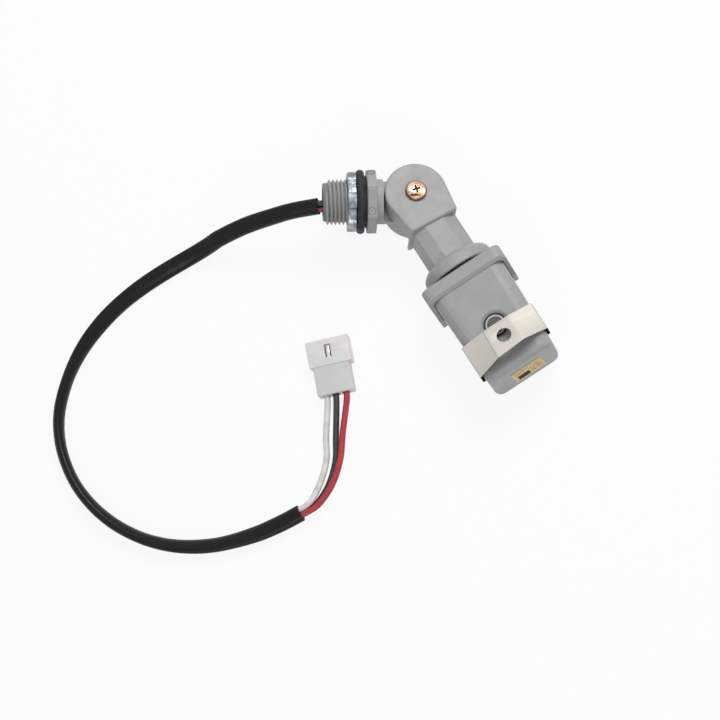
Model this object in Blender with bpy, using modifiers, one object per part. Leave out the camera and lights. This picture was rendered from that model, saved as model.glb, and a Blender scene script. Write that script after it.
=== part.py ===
"""A swivel-mounted photocell switch, modelled in metres.

The head lies flat on its back, as the whole thing lies on a table. +Z is the way the
lens looks, and -Y runs from the swivel to the lens end of the head. The origin is on
the table, under the middle of the rigid parts. The threaded nipple is the fixed piece:
the arm tilts on the knuckle screw, the head turns on the arm's hub, the light shield
slides along the head and the locknut spins on the nipple.
"""

import math

import bmesh
import bpy
from mathutils import Matrix, Vector

MM = 0.001

# Clearances
SEAT_GAP = 0.25 * MM
RUN_GAP = 0.3 * MM
CORD_GAP = 0.3 * MM
OVERSHOOT = 5 * MM
OVERLAP = 1 * MM

# How the piece lies: the bend is counted from a straight arm
PIVOT_X = 9.74 * MM
PIVOT_Y = 34.24 * MM
HEAD_TURN = math.radians(17.3)
ARM_BEND = math.radians(61.4)

# Knuckle, measured from the pivot
KNUCKLE_THICKNESS = 21.1 * MM
DISC_RADIUS = 14.3 * MM
DISC_ROUNDING = 0.9 * MM
DISC_CLEARANCE = 0.45 * MM
SHOULDER_HALF_WIDTH = 12.1 * MM
SHOULDER_END = 16.5 * MM
CHAMBER_RADIUS = 10.2 * MM
CHAMBER_DEPTH = 5.5 * MM
BOSS_RADIUS = 3.8 * MM

# Knuckle screw, nut and washer
SCREW_RADIUS = 1.95 * MM
SCREW_HEAD_RADIUS = 5.0 * MM
SCREW_HEAD_HEIGHT = 2.5 * MM
SCREW_RECESS_LENGTH = 4.4 * MM
SCREW_RECESS_WIDTH = 0.95 * MM
SCREW_RECESS_DEPTH = 1.5 * MM
SCREW_RECESS_TURN = math.radians(33)
NUT_FLATS = 7.0 * MM
NUT_THICKNESS = 2.4 * MM
WASHER_THICKNESS = 0.6 * MM

# Nipple, measured from the pivot along its own axis
NECK_RADIUS = 10.4 * MM
FLANGE_START = 17.7 * MM
FLANGE_THICKNESS = 4.6 * MM
FLANGE_FLATS = 25.6 * MM
NIPPLE_END = 42.2 * MM
FLANGE_TURN = math.radians(4)
THREAD_VALLEY_RADIUS = 9.1 * MM
THREAD_CREST_RADIUS = 10.45 * MM
LEAD_IN_RADIUS = 8.85 * MM
LEAD_IN_LENGTH = 2.3 * MM
NIPPLE_BORE_RADIUS = 7.0 * MM
NIPPLE_BORE_DEPTH = 21.5 * MM
WIRE_HOLE_RADIUS = 3.4 * MM
WIRE_HOLE_OFFSET = 3.8 * MM

# Gasket and locknut on the nipple
GASKET_RADIUS = 14.7 * MM
GASKET_THICKNESS = 3.3 * MM
GASKET_STEP_RADIUS = 11.9 * MM
GASKET_STEP = 0.9 * MM
LOCKNUT_RADIUS = 12.4 * MM
LOCKNUT_LUG_RADIUS = 14.25 * MM
LOCKNUT_THICKNESS = 4.0 * MM
LOCKNUT_LUGS = 6
LOCKNUT_LUG_ANGLE = math.radians(27)
LOCKNUT_LUG_SLANT = math.radians(4)
LOCKNUT_TURN = math.radians(7)

# Arm, measured from the pivot along the stem
STEM_HALF_WIDTH = 10.9 * MM
STEM_HALF_DEPTH = 9.0 * MM
STEM_FACET_HALF_WIDTH = 4.8 * MM
STEM_SIDE_HALF_DEPTH = 6.2 * MM
STEM_BORE_RADIUS = 5.0 * MM
DOME_START = 34.5 * MM
DOME_NECK_RADIUS = 11.2 * MM
DOME_HEIGHT = 4.2 * MM
DOME_END = 42.3 * MM
HUB_SHOULDER = 7.8 * MM
HUB_WALL = 1.9 * MM

# Seal and retaining ring at the head's swivel
SEAL_SET_BACK = 1.6 * MM
SEAL_THICKNESS = 0.9 * MM
RING_OVERHANG = 2.8 * MM
RING_THICKNESS = 1.0 * MM
RING_GROOVE_DEPTH = 0.8 * MM
RING_MOUTH = 7.0 * MM
HUB_LIP = 1.6 * MM

# Head: the cap and the body that plugs into it
CAP_HALF_WIDTH = 20.5 * MM
HEAD_HALF_DEPTH = 17.0 * MM
CAP_CORNER = 4.0 * MM
CAP_TOP_WALL = 2.2 * MM
CAP_SIDE_WALL = 2.0 * MM
CAP_FRONT_WALL = 1.4 * MM
CAP_BACK_WALL = 1.7 * MM
CAP_FRONT_HEIGHT = 5.7 * MM
CAP_BACK_HEIGHT = 7.3 * MM
CAP_SKIRT_HEIGHT = 11.1 * MM
CAP_SKIRT_BACK = 13.0 * MM
CAP_SKIRT_TURN = 4.0 * MM
CAP_EDGE = 0.9 * MM
BODY_LENGTH = 52.3 * MM
BODY_TAPER = 1.4 * MM
BODY_FRONT_CORNER = 6.0 * MM
BODY_BACK_CORNER = 4.5 * MM
BODY_END_ROUNDING = 2.6 * MM
BODY_WALL = 2.2 * MM

# Window in the head's front, placed from the end of the head
WINDOW_FROM_END = 21.1 * MM
HALO_RADIUS = 6.9 * MM
HALO_DEPTH = 0.6 * MM
WINDOW_RADIUS = 5.5 * MM
WINDOW_DEPTH = 1.5 * MM
WINDOW_HOLE_RADIUS = 3.6 * MM
LENS_RADIUS = 4.3 * MM
LENS_THICKNESS = 0.9 * MM
LENS_CROWN = 0.25 * MM
LENS_SEAL_THICKNESS = 0.7 * MM

# Light shield, a folded sheet whose lower edge stands off the head's front
SHIELD_SHEET = 0.6 * MM
SHIELD_HEIGHT = 15.4 * MM
SHIELD_DROP = 0.3 * MM
SHIELD_SIDE_DEPTH = 10.2 * MM
SHIELD_CORNER_DROP = 1.4 * MM
SHIELD_TOP_STAND = 2.3 * MM
SHIELD_LOW_STAND = 7.7 * MM
SHIELD_TOP_SLOPE = 11.6 * MM
SHIELD_LOW_SLOPE = 10.9 * MM
SHIELD_HOLE_RADIUS = 3.4 * MM
SHIELD_HOLE_PLACE = 7.3 * MM
SHIELD_LIP = 1.4 * MM
SHIELD_SIDE_GAP = 0.3 * MM
SHIELD_UP_TRAVEL = 9.0 * MM
SHIELD_DOWN_TRAVEL = 3.5 * MM

# Rating label on the end of the head
LABEL_SIDE = 15.4 * MM
LABEL_THICKNESS = 0.2 * MM
LABEL_GAP = 0.05 * MM
LABEL_LEVEL = -4.0 * MM

# Circuit board and what it carries
BOARD_THICKNESS = 1.6 * MM
BOARD_SIDE_GAP = 0.7 * MM
BOARD_RISE = 11.0 * MM
BOARD_SET_BACK = 1.5 * MM
BOARD_END_GAP = 3.3 * MM
PART_MARGIN = 2.1 * MM
PART_SPACING = 1.0 * MM
RIB_HEIGHT = 1.7 * MM
RIB_THICKNESS = 1.2 * MM
LEG_RADIUS = 0.4 * MM
SENSOR_RADIUS = 2.6 * MM
SENSOR_THICKNESS = 2.0 * MM
SENSOR_GAP = 3.8 * MM
SENSOR_LEG_PITCH = 1.6 * MM
RELAY_SIZE = (10.4 * MM, 10.0 * MM, 15.0 * MM)
FILM_CAPACITOR_HEIGHT = 9.0 * MM
FILM_CAPACITOR_THICKNESS = 5.5 * MM
FILM_CAPACITOR_GAP = 3.4 * MM
CAN_RADIUS = 3.1 * MM
CAN_HEIGHT = 8.0 * MM
VARISTOR_RADIUS = 3.6 * MM
VARISTOR_THICKNESS = 3.0 * MM
RESISTOR_RADIUS = 1.8 * MM
RESISTOR_LENGTH = 8.0 * MM
DIODE_RADIUS = 1.3 * MM
DIODE_LENGTH = 4.4 * MM
DIODE_PITCH = 3.6 * MM
AXIAL_LEG = 1.4 * MM
BOARD_LEAD_PITCH = 2.9 * MM

# Cord: a sleeve over three wires
SLEEVE_RADIUS = 3.6 * MM
WIRE_RADIUS = 1.35 * MM
WIRE_SPREAD = 1.75 * MM
WIRE_INNER_END = 11.2 * MM
SLEEVE_POINT_SPACING = 14.0 * MM
WIRE_POINT_SPACING = 6.0 * MM

# Connector on the far end of the cord: a stepped housing with three circuits
CONNECTOR_X = -77.6 * MM
CONNECTOR_Y = -54.0 * MM
CONNECTOR_TURN = math.radians(-21)
REAR_WIDTH = 17.2 * MM
REAR_HEIGHT = 8.2 * MM
REAR_LENGTH = 14.0 * MM
FRONT_WIDTH = 20.2 * MM
FRONT_HEIGHT = 9.6 * MM
FRONT_LENGTH = 12.2 * MM
CONNECTOR_CLEARANCE = 0.1 * MM
CONNECTOR_EDGE = 0.5 * MM
CIRCUIT_PITCH = 4.75 * MM
CIRCUIT_SIDE = 3.6 * MM
CIRCUIT_WIRE_DEPTH = 5.0 * MM
SLOT_WIDTH = 2.8 * MM
SLOT_LENGTH = 6.2 * MM
SLOT_PLACE = 3.2 * MM
TERMINAL_RADIUS = 1.45 * MM
TERMINAL_BARREL = 9.0 * MM
TERMINAL_PIN_RADIUS = 0.95 * MM
TERMINAL_LENGTH = 17.5 * MM

# Route of the sleeve, in millimetres: first from the pivot, then from the table below it
SLEEVE_RISE = ((-38.0, 20.3, 9.8), (-47.9, 25.0, 9.4), (-56.5, 28.9, 7.2))
SLEEVE_ROUTE = (
    (-73.4, 36.1, 17.5), (-93.2, 41.6, 9.6), (-112.0, 44.3, 5.0), (-131.1, 44.6, 3.8), (-148.5, 42.4, 3.75),
    (-163.7, 37.7, 3.75), (-176.1, 31.2, 3.75), (-186.8, 22.9, 3.75), (-195.7, 12.9, 3.75),
    (-201.6, 1.2, 3.75), (-204.5, -11.5, 3.75), (-204.7, -24.0, 3.75), (-202.0, -37.5, 3.75),
    (-196.5, -50.5, 3.75), (-187.9, -62.9, 3.75), (-176.5, -73.4, 3.75), (-162.0, -81.8, 3.75),
    (-145.5, -87.3, 3.75), (-132.5, -89.7, 3.8), (-121.2, -90.9, 3.9),
)
# Routes of the three wires from the sleeve to the connector, in the same measure
WHITE_ROUTE = ((-113.4, -88.6, 4.3), (-105.7, -83.6, 3.9), (-98.1, -76.4, 3.6), (-92.4, -68.4, 3.6))
BLACK_ROUTE = ((-113.2, -91.0, 1.9), (-104.4, -86.9, 1.6), (-95.5, -79.6, 1.5), (-88.4, -71.0, 2.1))
RED_ROUTE = ((-111.8, -92.3, 4.5), (-102.0, -87.9, 4.2), (-92.4, -80.2, 3.9), (-84.6, -71.0, 3.9))

TURN_STEPS = 48
SMALL_TURN_STEPS = 24
CORNER_STEPS = 4

FRONT_WINDOW_AXIS = Matrix.Rotation(math.radians(-90), 4, "X")
SIDEWAYS = Matrix(((0, 0, 1, 0), (1, 0, 0, 0), (0, 1, 0, 0), (0, 0, 0, 1)))

# Places that follow from the sizes above, along the stem from the pivot
HALF_PARTING = RUN_GAP / 2
HALF_KNUCKLE = KNUCKLE_THICKNESS / 2
BLOCK_START = DISC_RADIUS + DISC_CLEARANCE
FLANGE_END = FLANGE_START + FLANGE_THICKNESS
GASKET_START = FLANGE_END + SEAT_GAP
GASKET_END = GASKET_START + GASKET_STEP + GASKET_THICKNESS
LOCKNUT_START = GASKET_END + SEAT_GAP
SEAL_START = DOME_END + SEAT_GAP
CAP_START = SEAL_START + SEAL_THICKNESS + SEAT_GAP
CAP_CAVITY_START = CAP_START + CAP_TOP_WALL
RING_START = CAP_CAVITY_START + SEAT_GAP
HUB_END = RING_START + RING_THICKNESS + HUB_LIP
BODY_START = CAP_CAVITY_START + SEAT_GAP
BODY_STEP = CAP_START + CAP_BACK_HEIGHT
BODY_END = CAP_START + BODY_LENGTH
BODY_HALF_WIDTH = CAP_HALF_WIDTH - CAP_SIDE_WALL - RUN_GAP
BODY_FRONT = HEAD_HALF_DEPTH - CAP_FRONT_WALL - RUN_GAP
BODY_NECK_BACK = HEAD_HALF_DEPTH - CAP_BACK_WALL - RUN_GAP
BODY_END_HALF_WIDTH = BODY_HALF_WIDTH - BODY_TAPER
BODY_INNER_FRONT = BODY_FRONT - BODY_WALL
DOME_RADIUS = HEAD_HALF_DEPTH
HUB_RADIUS = DOME_RADIUS - HUB_SHOULDER
HUB_BORE_RADIUS = HUB_RADIUS - HUB_WALL
SEAL_RADIUS = DOME_RADIUS - SEAL_SET_BACK
RING_OUTER_RADIUS = HUB_RADIUS + RING_OVERHANG
WINDOW_PLACE = BODY_END - WINDOW_FROM_END
SHIELD_INNER_HALF_WIDTH = BODY_HALF_WIDTH - SHIELD_SIDE_GAP
SHIELD_START = WINDOW_PLACE + SHIELD_DROP
SHIELD_CORNER_LEVEL = BODY_FRONT - SHIELD_CORNER_DROP
SHIELD_LIP_LEVEL = SHIELD_CORNER_LEVEL - SHIELD_SIDE_DEPTH
SHIELD_TOP_LEVEL = BODY_FRONT + SHIELD_TOP_STAND
SHIELD_LOW_LEVEL = BODY_FRONT + SHIELD_LOW_STAND
SHIELD_TOP_CREASE = SHIELD_INNER_HALF_WIDTH - SHIELD_TOP_SLOPE
SHIELD_LOW_CREASE = SHIELD_INNER_HALF_WIDTH - SHIELD_LOW_SLOPE
BOARD_LEVEL = BOARD_RISE - HEAD_HALF_DEPTH
BOARD_FRONT = BOARD_LEVEL + BOARD_THICKNESS / 2
BOARD_HALF_WIDTH = BODY_END_HALF_WIDTH - BODY_WALL - BOARD_SIDE_GAP
BOARD_START = BODY_STEP + BOARD_SET_BACK
BOARD_END = BODY_END - BODY_WALL - BOARD_END_GAP
PART_LIMIT = BOARD_HALF_WIDTH - PART_MARGIN
PART_SEAT = BOARD_FRONT + SEAT_GAP
CONNECTOR_LENGTH = REAR_LENGTH + FRONT_LENGTH
CIRCUIT_LEVEL = CONNECTOR_CLEARANCE + FRONT_HEIGHT / 2


def clear_scene():
    for old in list(bpy.data.objects):
        bpy.data.objects.remove(old, do_unlink=True)


def make_collection(name):
    collection = bpy.data.collections.new(name)
    bpy.context.scene.collection.children.link(collection)
    return collection


def make_material(name, color, roughness, metallic=0.0):
    material = bpy.data.materials.new(name)
    material.use_nodes = True
    shader = material.node_tree.nodes["Principled BSDF"]
    shader.inputs["Base Color"].default_value = (*color, 1.0)
    shader.inputs["Roughness"].default_value = roughness
    shader.inputs["Metallic"].default_value = metallic
    material.diffuse_color = (*color, 1.0)
    return material


def dress(shape, name, finish):
    """Give a mesh or a curve a material of its own, in one of the finishes."""
    material = finish.copy()
    material.name = name
    shape.materials.clear()
    shape.materials.append(material)


def make_frame(name, parent, matrix):
    """An empty that holds the pieces sharing one axis."""
    frame = bpy.data.objects.new(name, None)
    PARTS.objects.link(frame)
    frame.parent = parent
    frame.matrix_local = matrix
    return frame


def place(thing, frame, matrix=None):
    thing.parent = frame
    if matrix is not None:
        thing.matrix_local = matrix
    return thing


def make_piece(name, mesh, frame, material=None, matrix=None):
    """A named part where a material is given, and otherwise a tool for cutting or joining."""
    piece = bpy.data.objects.new(name, mesh)
    if material:
        PARTS.objects.link(piece)
        dress(mesh, name, material)
    else:
        TOOLS.objects.link(piece)
        piece.hide_render = True
        piece.display_type = "WIRE"
    return place(piece, frame, matrix)


def mesh_from(name, build):
    mesh = bpy.data.meshes.new(name)
    model = bmesh.new()
    build(model)
    bmesh.ops.recalc_face_normals(model, faces=model.faces)
    model.to_mesh(mesh)
    model.free()
    return mesh


def shade_round(mesh, angle=35):
    mesh.shade_smooth()
    mesh.set_sharp_from_angle(angle=math.radians(angle))


def box(name, low, high, frame, material=None, matrix=None):
    size = Vector(high) - Vector(low)
    middle = (Vector(high) + Vector(low)) / 2

    def build(model):
        bmesh.ops.create_cube(model, size=1, matrix=Matrix.Translation(middle) @ Matrix.Diagonal((*size, 1)))

    return make_piece(name, mesh_from(name, build), frame, material, matrix)


def cylinder(name, radius, low, high, frame, material=None, matrix=None, sides=TURN_STEPS):
    """A round bar along the frame's Z, or a hexagon with six sides and a corner on Y."""

    def build(model):
        middle = Matrix.Translation((0, 0, (low + high) / 2))
        bmesh.ops.create_cone(
            model, cap_ends=True, segments=sides, radius1=radius, radius2=radius, depth=high - low, matrix=middle
        )

    mesh = mesh_from(name, build)
    if sides > 6:
        shade_round(mesh)
    return make_piece(name, mesh, frame, material, matrix)


def turned(name, profile, frame, material=None, matrix=None, closed=False, steps=TURN_STEPS):
    """Turn a profile of (radius, height) points, top to bottom down its outer side, about Z."""
    mesh = bpy.data.meshes.new(name)
    points = [(radius, 0, height) for radius, height in profile]
    edges = [(index, index + 1) for index in range(len(points) - 1)]
    if closed:
        edges.append((len(points) - 1, 0))
    mesh.from_pydata(points, edges, [])
    piece = make_piece(name, mesh, frame, material, matrix)
    screw = piece.modifiers.new("turn", "SCREW")
    screw.steps = steps
    screw.render_steps = steps
    screw.use_merge_vertices = True
    screw.merge_threshold = 0.00001
    screw.use_smooth_shade = True
    return piece


def prism(name, outline, low, high, frame, material=None, matrix=None):
    """A flat outline in XY, thickened along Z from low to high."""
    curve = bpy.data.curves.new(name, "CURVE")
    curve.dimensions = "2D"
    curve.fill_mode = "BOTH"
    curve.extrude = (high - low) / 2
    spline = curve.splines.new("POLY")
    spline.points.add(len(outline) - 1)
    for point, (x, y) in zip(spline.points, outline):
        point.co = (x, y, 0, 1)
    spline.use_cyclic_u = True
    sketch = bpy.data.objects.new(name + "_sketch", curve)
    TOOLS.objects.link(sketch)
    bpy.context.view_layer.update()
    mesh = bpy.data.meshes.new_from_object(sketch.evaluated_get(bpy.context.evaluated_depsgraph_get()))
    bpy.data.objects.remove(sketch, do_unlink=True)
    model = bmesh.new()
    model.from_mesh(mesh)
    bmesh.ops.translate(model, verts=model.verts, vec=(0, 0, (low + high) / 2))
    bmesh.ops.remove_doubles(model, verts=model.verts, dist=0.000001)
    bmesh.ops.dissolve_limit(model, angle_limit=0.001, verts=model.verts, edges=model.edges)
    bmesh.ops.recalc_face_normals(model, faces=model.faces)
    model.to_mesh(mesh)
    model.free()
    return make_piece(name, mesh, frame, material, matrix)


def loft(name, sections, frame, material=None, matrix=None):
    """Skin a row of unlike sections, each a height and a ring of (x, y) points."""

    def build(model):
        rings = [[model.verts.new((x, y, height)) for x, y in ring] for height, ring in sections]
        count = len(rings[0])
        for lower, upper in zip(rings, rings[1:]):
            for index in range(count):
                follow = (index + 1) % count
                model.faces.new((lower[index], lower[follow], upper[follow], upper[index]))
        model.faces.new(reversed(rings[0]))
        model.faces.new(rings[-1])

    mesh = mesh_from(name, build)
    shade_round(mesh)
    return make_piece(name, mesh, frame, material, matrix)


def arc(center, radius, start, end, steps):
    """Points on an arc, from one angle to another in radians."""
    angles = [start + (end - start) * step / steps for step in range(steps + 1)]
    return [(center[0] + radius * math.cos(a), center[1] + radius * math.sin(a)) for a in angles]


def rounded_box_ring(half_width, back, front, back_corner, front_corner, inset=0.0):
    """A rectangle with round corners: x is across, y runs from the back to the front."""
    half_width, back, front = half_width - inset, back + inset, front - inset
    back_corner = max(back_corner - inset, 0.3 * MM)
    front_corner = max(front_corner - inset, 0.3 * MM)
    quarter = math.pi / 2
    corners = (
        (half_width - front_corner, front - front_corner, front_corner, 0),
        (-half_width + front_corner, front - front_corner, front_corner, quarter),
        (-half_width + back_corner, back + back_corner, back_corner, 2 * quarter),
        (half_width - back_corner, back + back_corner, back_corner, 3 * quarter),
    )
    ring = []
    for x, y, radius, start in corners:
        ring += arc((x, y), radius, start, start + quarter, CORNER_STEPS)
    return ring


def boolean(target, tool, operation):
    step = target.modifiers.new(operation.lower() + "_" + tool.name, "BOOLEAN")
    step.operation = operation
    step.solver = "EXACT"
    step.object = tool


def cut(target, *tools):
    for tool in tools:
        boolean(target, tool, "DIFFERENCE")


def join(target, *tools):
    for tool in tools:
        boolean(target, tool, "UNION")


def soften(piece, width, segments=2, angle=40):
    bevel = piece.modifiers.new("soften", "BEVEL")
    bevel.width = width
    bevel.segments = segments
    bevel.limit_method = "ANGLE"
    bevel.angle_limit = math.radians(angle)
    bevel.use_clamp_overlap = True


def smooth_route(points, steps=8):
    """A Catmull-Rom curve through the points."""
    row = [Vector(p) for p in points]
    row = [row[0] * 2 - row[1]] + row + [row[-1] * 2 - row[-2]]
    curve = []
    for before, start, end, after in zip(row, row[1:], row[2:], row[3:]):
        for step in range(steps):
            t = step / steps
            curve.append(
                (
                    start * 2
                    + (end - before) * t
                    + (before * 2 - start * 5 + end * 4 - after) * t**2
                    + (start * 3 - before - end * 3 + after) * t**3
                )
                / 2
            )
    return curve + [row[-2]]


def resample(curve, spacing):
    """Points at an even spacing along a finely divided curve, with both its ends."""
    lengths = [0.0]
    for start, end in zip(curve, curve[1:]):
        lengths.append(lengths[-1] + (end - start).length)
    count = max(2, round(lengths[-1] / spacing))
    points = []
    index = 0
    for step in range(count + 1):
        wanted = lengths[-1] * step / count
        while index < len(lengths) - 2 and lengths[index + 1] < wanted:
            index += 1
        share = (wanted - lengths[index]) / (lengths[index + 1] - lengths[index])
        points.append(curve[index].lerp(curve[index + 1], share))
    return points


def tube(name, points, radius, frame, material, resolution=2):
    curve = bpy.data.curves.new(name, "CURVE")
    curve.dimensions = "3D"
    curve.bevel_depth = radius
    curve.bevel_resolution = resolution
    curve.use_fill_caps = True
    dress(curve, name, material)
    spline = curve.splines.new("POLY")
    spline.points.add(len(points) - 1)
    for point, spot in zip(spline.points, points):
        point.co = (*spot, 1)
    piece = bpy.data.objects.new(name, curve)
    PARTS.objects.link(piece)
    return place(piece, frame)


def make_nipple_body():
    """Thread tube, hexagon flange, neck and rear half of the knuckle, moulded in one."""
    profile = (
        (0, NIPPLE_END),
        (LEAD_IN_RADIUS - 0.4 * MM, NIPPLE_END),
        (LEAD_IN_RADIUS, NIPPLE_END - 0.4 * MM),
        (LEAD_IN_RADIUS, NIPPLE_END - LEAD_IN_LENGTH),
        (THREAD_VALLEY_RADIUS, NIPPLE_END - LEAD_IN_LENGTH - 0.6 * MM),
        (THREAD_VALLEY_RADIUS, FLANGE_START + OVERLAP),
        (NECK_RADIUS, FLANGE_START + OVERLAP),
        (NECK_RADIUS, -OVERLAP),
        (0, -OVERLAP),
    )
    body = turned("nipple_body", profile, NIPPLE_FRAME, GREY_PLASTIC)
    corner = FLANGE_FLATS / math.sqrt(3)
    turn = Matrix.Rotation(FLANGE_TURN, 4, "Z")
    flange = cylinder("flange_tool", corner, FLANGE_START, FLANGE_END, NIPPLE_FRAME, matrix=turn, sides=6)
    soften(flange, 0.45 * MM, 1)
    disc = cylinder("rear_disc_tool", DISC_RADIUS, -HALF_KNUCKLE, OVERLAP, KNUCKLE_FRAME)
    soften(disc, DISC_ROUNDING)
    join(body, flange, disc)
    width = DISC_RADIUS + OVERSHOOT
    front_space = box(
        "front_space_tool", (-width, -width, -HALF_PARTING), (width, BLOCK_START, width), NIPPLE_SIDE_FRAME
    )
    bore = cylinder(
        "nipple_bore_tool", NIPPLE_BORE_RADIUS, NIPPLE_END - NIPPLE_BORE_DEPTH, NIPPLE_END + OVERSHOOT, NIPPLE_FRAME
    )
    wire_hole = cylinder(
        "nipple_wire_hole_tool", WIRE_HOLE_RADIUS, CHAMBER_RADIUS - OVERLAP, NIPPLE_END - NIPPLE_BORE_DEPTH + OVERLAP,
        NIPPLE_FRAME, matrix=Matrix.Translation((0, WIRE_HOLE_OFFSET, 0)), sides=SMALL_TURN_STEPS
    )
    cut(body, front_space, bore, wire_hole, make_chamber("rear_chamber_tool", -CHAMBER_DEPTH, OVERLAP))
    cut(body, make_screw_hole("rear_screw_hole_tool"), make_nut_pocket())
    return body


def make_chamber(name, low, high):
    """The ring-shaped hollow round the screw's boss, through which the wires pass."""
    profile = ((CHAMBER_RADIUS, high), (CHAMBER_RADIUS, low), (BOSS_RADIUS, low), (BOSS_RADIUS, high))
    return turned(name, profile, KNUCKLE_FRAME, closed=True, steps=36)


def make_screw_hole(name):
    reach = HALF_KNUCKLE + OVERSHOOT
    return cylinder(name, SCREW_RADIUS + RUN_GAP, -reach, reach, KNUCKLE_FRAME, sides=SMALL_TURN_STEPS)


def make_nut_pocket():
    corner = (NUT_FLATS / 2 + SEAT_GAP) * 2 / math.sqrt(3)
    floor = -HALF_KNUCKLE + nut_pocket_depth()
    return cylinder("nut_pocket_tool", corner, -HALF_KNUCKLE - OVERSHOOT, floor, KNUCKLE_FRAME, sides=6)


def nut_pocket_depth():
    return NUT_THICKNESS + WASHER_THICKNESS + 2 * SEAT_GAP + 0.4 * MM


def make_pivot_screw():
    """A pan head screw with a cross recess, through both halves of the knuckle."""
    under = HALF_KNUCKLE + SEAT_GAP
    crown = [
        (SCREW_HEAD_RADIUS * math.sin(angle), under + 0.5 * MM + (SCREW_HEAD_HEIGHT - 0.5 * MM) * math.cos(angle))
        for angle in [math.pi / 2 * step / 6 for step in range(7)]
    ]
    profile = crown + [
        (SCREW_HEAD_RADIUS, under),
        (SCREW_RADIUS, under),
        (SCREW_RADIUS, -HALF_KNUCKLE + 0.5 * MM),
        (SCREW_RADIUS - 0.4 * MM, -HALF_KNUCKLE + 0.1 * MM),
        (0, -HALF_KNUCKLE + 0.1 * MM),
    ]
    screw = turned("pivot_screw", profile, KNUCKLE_FRAME, COPPER_PLATE, steps=32)
    top = under + SCREW_HEAD_HEIGHT
    for index in range(2):
        turn = Matrix.Rotation(SCREW_RECESS_TURN + index * math.pi / 2, 4, "Z")
        low = (-SCREW_RECESS_LENGTH / 2, -SCREW_RECESS_WIDTH / 2, top - SCREW_RECESS_DEPTH)
        high = (SCREW_RECESS_LENGTH / 2, SCREW_RECESS_WIDTH / 2, top + OVERSHOOT)
        cut(screw, box("screw_recess_tool_%d" % index, low, high, KNUCKLE_FRAME, matrix=turn))
    return screw


def make_pivot_nut():
    low = -HALF_KNUCKLE + 0.4 * MM
    corner = NUT_FLATS / math.sqrt(3)
    nut = cylinder("pivot_nut", corner, low, low + NUT_THICKNESS, KNUCKLE_FRAME, ZINC_PLATE, sides=6)
    hole = cylinder(
        "nut_hole_tool", SCREW_RADIUS + SEAT_GAP, -HALF_KNUCKLE - OVERSHOOT, 0, KNUCKLE_FRAME, sides=SMALL_TURN_STEPS
    )
    cut(nut, hole)
    return nut


def make_lock_washer():
    low = -HALF_KNUCKLE + 0.4 * MM + NUT_THICKNESS + SEAT_GAP
    high = low + WASHER_THICKNESS
    inner = SCREW_RADIUS + SEAT_GAP
    outer = NUT_FLATS / 2 - 0.1 * MM
    profile = ((outer, high), (outer, low), (inner, low), (inner, high))
    return turned("lock_washer", profile, KNUCKLE_FRAME, ZINC_PLATE, closed=True, steps=SMALL_TURN_STEPS)


def plate_outline():
    """The disc with straight flanks that run from it to the two shoulders."""
    corner_angle = math.atan2(SHOULDER_END, SHOULDER_HALF_WIDTH)
    reach = math.hypot(SHOULDER_END, SHOULDER_HALF_WIDTH)
    touch = corner_angle - math.acos(DISC_RADIUS / reach)
    curve = arc((0, 0), DISC_RADIUS, -touch, math.pi + touch, 30)
    return curve + [(-SHOULDER_HALF_WIDTH, -SHOULDER_END), (SHOULDER_HALF_WIDTH, -SHOULDER_END)]


def stem_outline():
    quarter = (
        (STEM_FACET_HALF_WIDTH, STEM_HALF_DEPTH),
        (STEM_HALF_WIDTH, STEM_SIDE_HALF_DEPTH),
        (STEM_HALF_WIDTH, -STEM_SIDE_HALF_DEPTH),
        (STEM_FACET_HALF_WIDTH, -STEM_HALF_DEPTH),
    )
    return list(quarter) + [(-x, y) for x, y in reversed(quarter)]


def dome_profile():
    """The stem's foot: a quarter-ellipse flare, a rim, and the hub with its ring groove."""
    flare = [
        (
            DOME_RADIUS - (DOME_RADIUS - DOME_NECK_RADIUS) * (1 - math.cos(angle)),
            DOME_START + DOME_HEIGHT * (1 - math.sin(angle)),
        )
        for angle in [math.pi / 2 * step / 6 for step in range(7)]
    ]
    groove = HUB_RADIUS - RING_GROOVE_DEPTH
    return (
        [
            (0, HUB_END),
            (HUB_RADIUS - 0.5 * MM, HUB_END),
            (HUB_RADIUS, HUB_END - 0.5 * MM),
            (HUB_RADIUS, RING_START + RING_THICKNESS + SEAT_GAP),
            (groove, RING_START + RING_THICKNESS + SEAT_GAP),
            (groove, RING_START - SEAT_GAP),
            (HUB_RADIUS, RING_START - SEAT_GAP),
            (HUB_RADIUS, DOME_END),
            (DOME_RADIUS - 0.4 * MM, DOME_END),
            (DOME_RADIUS, DOME_END - 0.4 * MM),
        ]
        + flare
        + [(0, DOME_START)]
    )


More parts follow.
